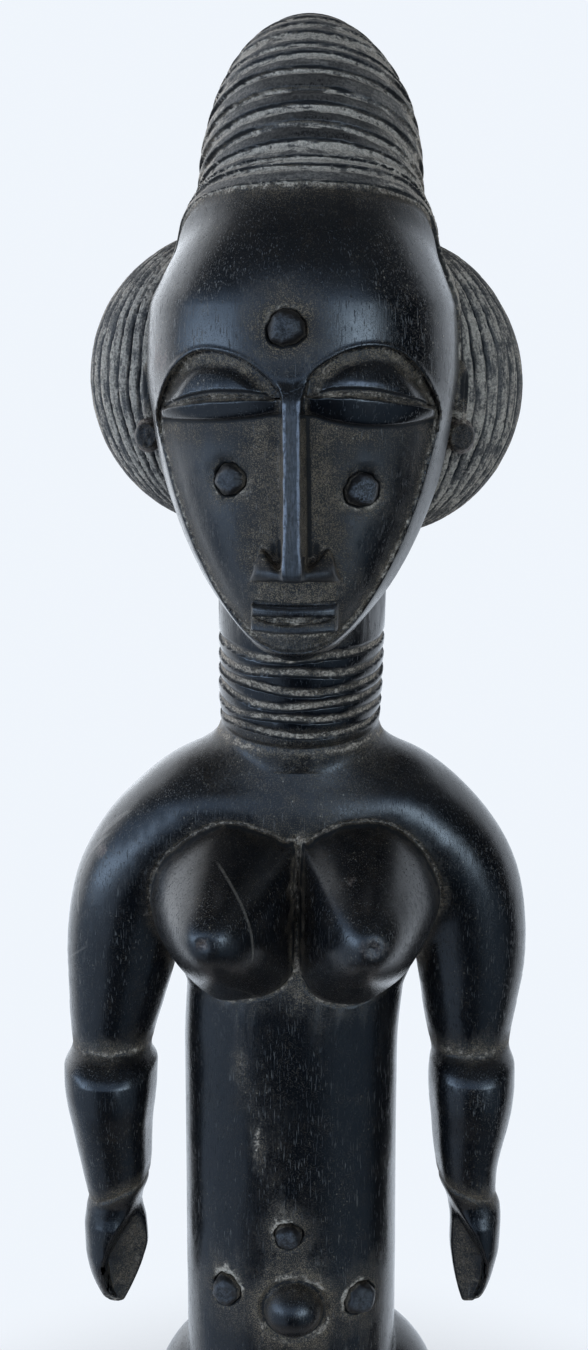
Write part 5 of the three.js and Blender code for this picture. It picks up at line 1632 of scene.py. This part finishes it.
def make_peg_wood():
    t = Net("peg_wood")
    n = t.nodes.new("ShaderNodeAttribute")
    n.attribute_name = "peg"
    t.at = n.outputs["Vector"]
    rim, out = t.mark("rim"), t.mark("out")
    fibre = t.noise(t.stretch(0.22, 0.22, 2.8), 2, 0.55)        # fibres run out along the peg
    patch = t.noise(t.stretch(1.4, 1.4, 1.4), 4, 0.62)
    grit = t.noise(t.stretch(0.38, 0.38, 0.38), 3, 0.7)
    fine = t.noise(t.stretch(0.16, 0.16, 0.16), 2, 0.6)
    facet = t.noise(t.stretch(2.6, 2.6, 3.5, (3, 8, 1)), 1, 0.3)
    wood = t.mix(t.ramp(patch, 0.35, 0.7), (0.0065, 0.0055, 0.0055), (0.020, 0.0145, 0.0110))
    wood = t.mix(t.ramp(fibre, 0.5, 0.75, 0, 0.5), wood, (0.036, 0.029, 0.024))
    dn = t.add(t.mul(t.add(grit, -0.5), 0.9), t.mul(t.add(patch, -0.5), 0.8))
    low = t.ramp(t.add(rim, dn), 0.35, 0.8)
    pale = t.mix(t.ramp(grit, 0.4, 0.65), (0.065, 0.046, 0.030), (0.24, 0.185, 0.125))
    colour = t.mix(t.mul(low, 0.85), wood, pale)
    end = t.mul(out, t.ramp(t.add(grit, t.mul(patch, 0.4)), 0.62, 0.8))
    colour = t.mix(t.mul(end, 0.8), colour, (0.135, 0.140, 0.150))
    hole = t.mul(out, t.ramp(fine, 0.68, 0.76))
    colour = t.mix(hole, colour, (0.004, 0.0035, 0.003))
    t.feed(t.shader.inputs["Base Color"], colour)
    r = t.add(t.ramp(patch, 0.3, 0.7, 0.30, 0.52, False), t.mul(t.add(fibre, -0.5), 0.3))
    r = t.blend(low, r, 0.85)
    r = t.blend(t.mul(end, 0.7), r, 0.7)
    t.feed(t.shader.inputs["Roughness"], t.math("MINIMUM", t.math("MAXIMUM", r, 0.18), 0.95))
    h = t.add(t.mul(facet, 0.6), t.mul(fibre, 0.10))
    h = t.add(h, t.mul(patch, 0.22))
    h = t.add(h, t.mul(t.mul(low, grit), 0.16))
    h = t.add(h, t.mul(t.mul(out, grit), 0.09))
    h = t.add(h, t.mul(hole, -0.06))
    t.bump(h)
    return t.mat


dark_wood, peg_wood = make_dark_wood(), make_peg_wood()


# ---- pegs ---------------------------------------------------------------
def make_peg(peg):
    """A whittled plug: knife flats round its side, a bevel and an uneven end."""
    name, on_head, x, y, z, turn, tilt, rx, rz, rise, sides = peg
    k = sides + len(name)
    rings, around = [], 96
    a = np.linspace(0, 2 * np.pi, around, endpoint=False)
    edge = peg_radius(peg, a)
    # (height over the skin, scale); the end is slightly tilted and dished by the knife
    levels = [(-4.6, 0.86), (-4.2, 0.93), (-3.0, 0.97), (-1.5, 0.99), (-0.6, 1.0), (0.0, 1.0), (rise * 0.25, 0.995), (rise * 0.45, 0.975),
              (rise * 0.62, 0.93), (rise * 0.76, 0.87), (rise * 0.87, 0.78), (rise * 0.95, 0.66), (rise, 0.52), (rise * 1.02, 0.36), (rise * 1.03, 0.2), (rise * 1.03, 0.07)]
    for w, f in levels:
        r = edge * f
        u, v = r * np.cos(a), r * np.sin(a)
        t = max(0.0, w / rise)
        # five knife facets over the shoulder
        for fa, cut in ((0.9 + k, 0.60), (2.2 + k, 0.40), (3.3 + k, 0.52), (4.4 + k, 0.36), (5.4 + k, 0.68)):
            reach = u * math.cos(fa) + v * math.sin(fa)
            over = np.maximum(reach + w * 0.9 - (max(rx, rz) + rise * 0.9 - cut * 3.2), 0) * min(1, t * 3)
            u, v = u - over * 0.6 * math.cos(fa), v - over * 0.6 * math.sin(fa)
        h = w + t * (0.10 * (u * math.cos(k) + v * math.sin(k)) + 0.16 * noise(u * 0.8 + k, v * 0.8, u * 0 + w))
        rings.append(np.stack([u, v, h], 1))
    s, up, o = peg_axes(peg)
    pts = np.concatenate(rings)
    p = np.array([x, y, z]) + pts[:, :1] * s + pts[:, 1:2] * up + pts[:, 2:3] * o
    if on_head:
        c, sn = math.cos(-TURN), math.sin(-TURN)
        px, py = p[:, 0].copy(), p[:, 1] + 8
        p[:, 0], p[:, 1] = c * px - sn * py, sn * px + c * py - 8
    p[:, 0] += sway_of(p[:, 2])[0]
    n, m = len(levels), around
    faces = []
    for i in range(n - 1):
        j = np.arange(m)
        q = np.stack([i * m + j, i * m + (j + 1) % m, (i + 1) * m + (j + 1) % m, (i + 1) * m + j], 1)
        faces.append(q)
    quads = np.concatenate(faces)
    tri = np.concatenate([quads[:, [0, 1, 2]], quads[:, [0, 2, 3]]])
    low, high = len(p), len(p) + 1
    p = np.concatenate([p, [p[:m].mean(0)], [p[-m:].mean(0)]])
    j = np.arange(m)
    tri = np.concatenate([tri, np.stack([(j + 1) % m, j, np.full(m, low)], 1),
                          np.stack([(n - 1) * m + j, (n - 1) * m + (j + 1) % m, np.full(m, high)], 1)])
    ob = mesh_object(name + "_whittled", p, tri)
    # where each point is on its own peg, the dusty foot of its side and its end grain
    own = np.concatenate([pts, [pts[:m].mean(0)], [pts[-m:].mean(0)]])
    far = np.hypot(own[:, 0] / rx, own[:, 1] / rz)
    own_at = own + np.array([13.0 * k, 7.0 * k, 5.0 * k])
    ob.data.attributes.new("peg", "FLOAT_VECTOR", "POINT").data.foreach_set("vector", (own_at / 1000).astype(np.float32).ravel())
    for mark, value in (("rim", step(rise * 0.62, -0.2, own[:, 2]) * 0.75), ("out", step(rise * 0.6, rise * 0.95, own[:, 2]) * step(1.1, 0.7, far) * (1.0 if name == "peg_cheek_right" else 0.45))):
        ob.data.attributes.new(mark, "FLOAT", "POINT").data.foreach_set("value", value.astype(np.float32))
    return ob


peg_objects = {}
for peg in PEGS:
    ob = make_peg(peg)
    peg_objects[peg[0]] = ob
    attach(ob, "root")
    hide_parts(peg[0])
    ob.data.materials.append(peg_wood)

figure.data.materials.append(dark_wood)
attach(figure, "root")
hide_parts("figure")

# ---- floor, backdrop, light, camera -------------------------------------
def stage_mesh(name, points, faces, material):
    me = bpy.data.meshes.new(name)
    me.from_pydata(points, [], faces)
    me.shade_smooth()
    ob = bpy.data.objects.new(name, me)
    bpy.context.collection.objects.link(ob)
    me.materials.append(material)
    return ob


def fading_floor():
    """A pale floor that fades into the plain backdrop."""
    m = bpy.data.materials.new("studio_floor")
    m.use_nodes = True
    nt = m.node_tree
    b = nt.nodes["Principled BSDF"]
    b.inputs["Base Color"].default_value = (0.90, 0.80, 0.72, 1)
    b.inputs["Roughness"].default_value = 0.9
    b.inputs["Specular IOR Level"].default_value = 0.2
    at = nt.nodes.new("ShaderNodeTexCoord")
    far = nt.nodes.new("ShaderNodeVectorMath")
    far.operation = "LENGTH"
    nt.links.new(at.outputs["Object"], far.inputs[0])
    fade = nt.nodes.new("ShaderNodeMapRange")
    fade.interpolation_type = "SMOOTHSTEP"
    for k, v in (("From Min", 0.09), ("From Max", 0.24), ("To Min", 0.0), ("To Max", 1.0)):
        fade.inputs[k].default_value = v
    nt.links.new(far.outputs["Value"], fade.inputs["Value"])
    clear = nt.nodes.new("ShaderNodeBsdfTransparent")
    both = nt.nodes.new("ShaderNodeMixShader")
    nt.links.new(fade.outputs[0], both.inputs[0])
    nt.links.new(b.outputs[0], both.inputs[1])
    nt.links.new(clear.outputs[0], both.inputs[2])
    nt.links.new(both.outputs[0], nt.nodes["Material Output"].inputs["Surface"])
    return m


R = 1.05
ring_points = [(R * math.cos(k * math.pi / 48), R * math.sin(k * math.pi / 48), 0) for k in range(96)]
stage_mesh("floor", ring_points, [tuple(range(96))], fading_floor())


world = bpy.data.worlds.new("studio")
bpy.context.scene.world = world
world.use_nodes = True
nt = world.node_tree
bg = nt.nodes["Background"]
way = nt.nodes.new("ShaderNodeTexCoord")
part = nt.nodes.new("ShaderNodeSeparateXYZ")
nt.links.new(way.outputs["Generated"], part.inputs[0])


def world_range(socket, lo, hi, out_lo=0.0, out_hi=1.0):
    n = nt.nodes.new("ShaderNodeMapRange")
    n.interpolation_type = "SMOOTHSTEP"
    for k, v in (("From Min", lo), ("From Max", hi), ("To Min", out_lo), ("To Max", out_hi)):
        n.inputs[k].default_value = v
    nt.links.new(socket, n.inputs["Value"])
    return n.outputs[0]


def world_math(kind, a, b=0.0):
    n = nt.nodes.new("ShaderNodeMath")
    n.operation = kind
    for k, v in enumerate((a, b)):
        if isinstance(v, float):
            n.inputs[k].default_value = v
        else:
            nt.links.new(v, n.inputs[k])
    return n.outputs[0]


# the studio light, by direction: degrees to the right of the front, and degrees up
turn = world_math("MULTIPLY", world_math("ARCTAN2", part.outputs["X"], world_math("MULTIPLY", part.outputs["Y"], -1.0)), 57.2958)
rise = world_math("MULTIPLY", world_math("ARCSINE", part.outputs["Z"]), 57.2958)
wide = world_math("ABSOLUTE", turn)


def light_patch(a, a0, a1, a_soft, e0, e1, e_soft, colour):
    """A soft patch of light between two angles round and two angles up."""
    m = world_math("MULTIPLY", world_range(a, a0 - a_soft, a0 + a_soft), world_range(a, a1 + a_soft, a1 - a_soft))
    m = world_math("MULTIPLY", m, world_math("MULTIPLY", world_range(rise, e0 - e_soft, e0 + e_soft), world_range(rise, e1 + e_soft, e1 - e_soft)))
    n = nt.nodes.new("ShaderNodeVectorMath")
    n.operation = "SCALE"
    n.inputs[0].default_value = colour
    nt.links.new(m, n.inputs["Scale"])
    return n.outputs[0]


patches = [
    light_patch(wide, 108, 200, 12, -60, 35, 10, (1.15, 1.26, 1.40)),      # broad light from behind
    light_patch(turn, -96, 40, 12, -4, 24, 7, (0.62, 0.88, 1.30)),        # long soft strip across the front
    light_patch(turn, -84, -40, 16, -6, 7, 8, (3.3, 4.4, 5.9)),            # soft box, left
    light_patch(turn, 18, 46, 12, -6, 7, 8, (5.6, 7.1, 8.6)),              # soft box, right
    light_patch(turn, -104, -27, 7, -48, -4, 9, (0.42, 0.54, 0.72)),       # low fill, left
    light_patch(turn, 18, 76, 9, -44, -6, 9, (0.16, 0.23, 0.32)),          # low fill, right
    light_patch(turn, -172, -102, 14, -12, 48, 12, (1.05, 1.08, 1.12)),     # more from behind, left
    light_patch(wide, -10, 120, 9, 24, 62, 12, (0.125, 0.14, 0.155)),      # dim top
    light_patch(wide, -10, 220, 9, 76, 120, 9, (0.38, 0.40, 0.43)),
]
glow = patches[0]
for one in patches[1:]:
    n = nt.nodes.new("ShaderNodeVectorMath")
    n.operation = "ADD"
    nt.links.new(glow, n.inputs[0])
    nt.links.new(one, n.inputs[1])
    glow = n.outputs[0]
seen = nt.nodes.new("ShaderNodeLightPath")
tint = nt.nodes.new("ShaderNodeMix")
tint.data_type = "RGBA"
nt.links.new(seen.outputs["Is Camera Ray"], tint.inputs["Factor"])
nt.links.new(glow, tint.inputs["A"])
tint.inputs["B"].default_value = (0.868, 0.915, 0.975, 1)
nt.links.new(tint.outputs["Result"], bg.inputs["Color"])
bg.inputs["Strength"].default_value = 1.0

cam = bpy.data.cameras.new("camera")
cam.lens, cam.sensor_width, cam.sensor_fit = 40.0, 36.0, "AUTO"
cam.clip_start, cam.clip_end = 0.01, 50
eye = bpy.data.objects.new("camera", cam)
bpy.context.collection.objects.link(eye)
tilt = math.radians(12.0)
eye.location = (0, -0.340 * math.cos(tilt), 0.308 + 0.340 * math.sin(tilt))
eye.rotation_euler = (math.pi / 2 - tilt, 0, 0)
bpy.context.scene.camera = eye

bpy.context.scene.view_settings.view_transform = "Standard"
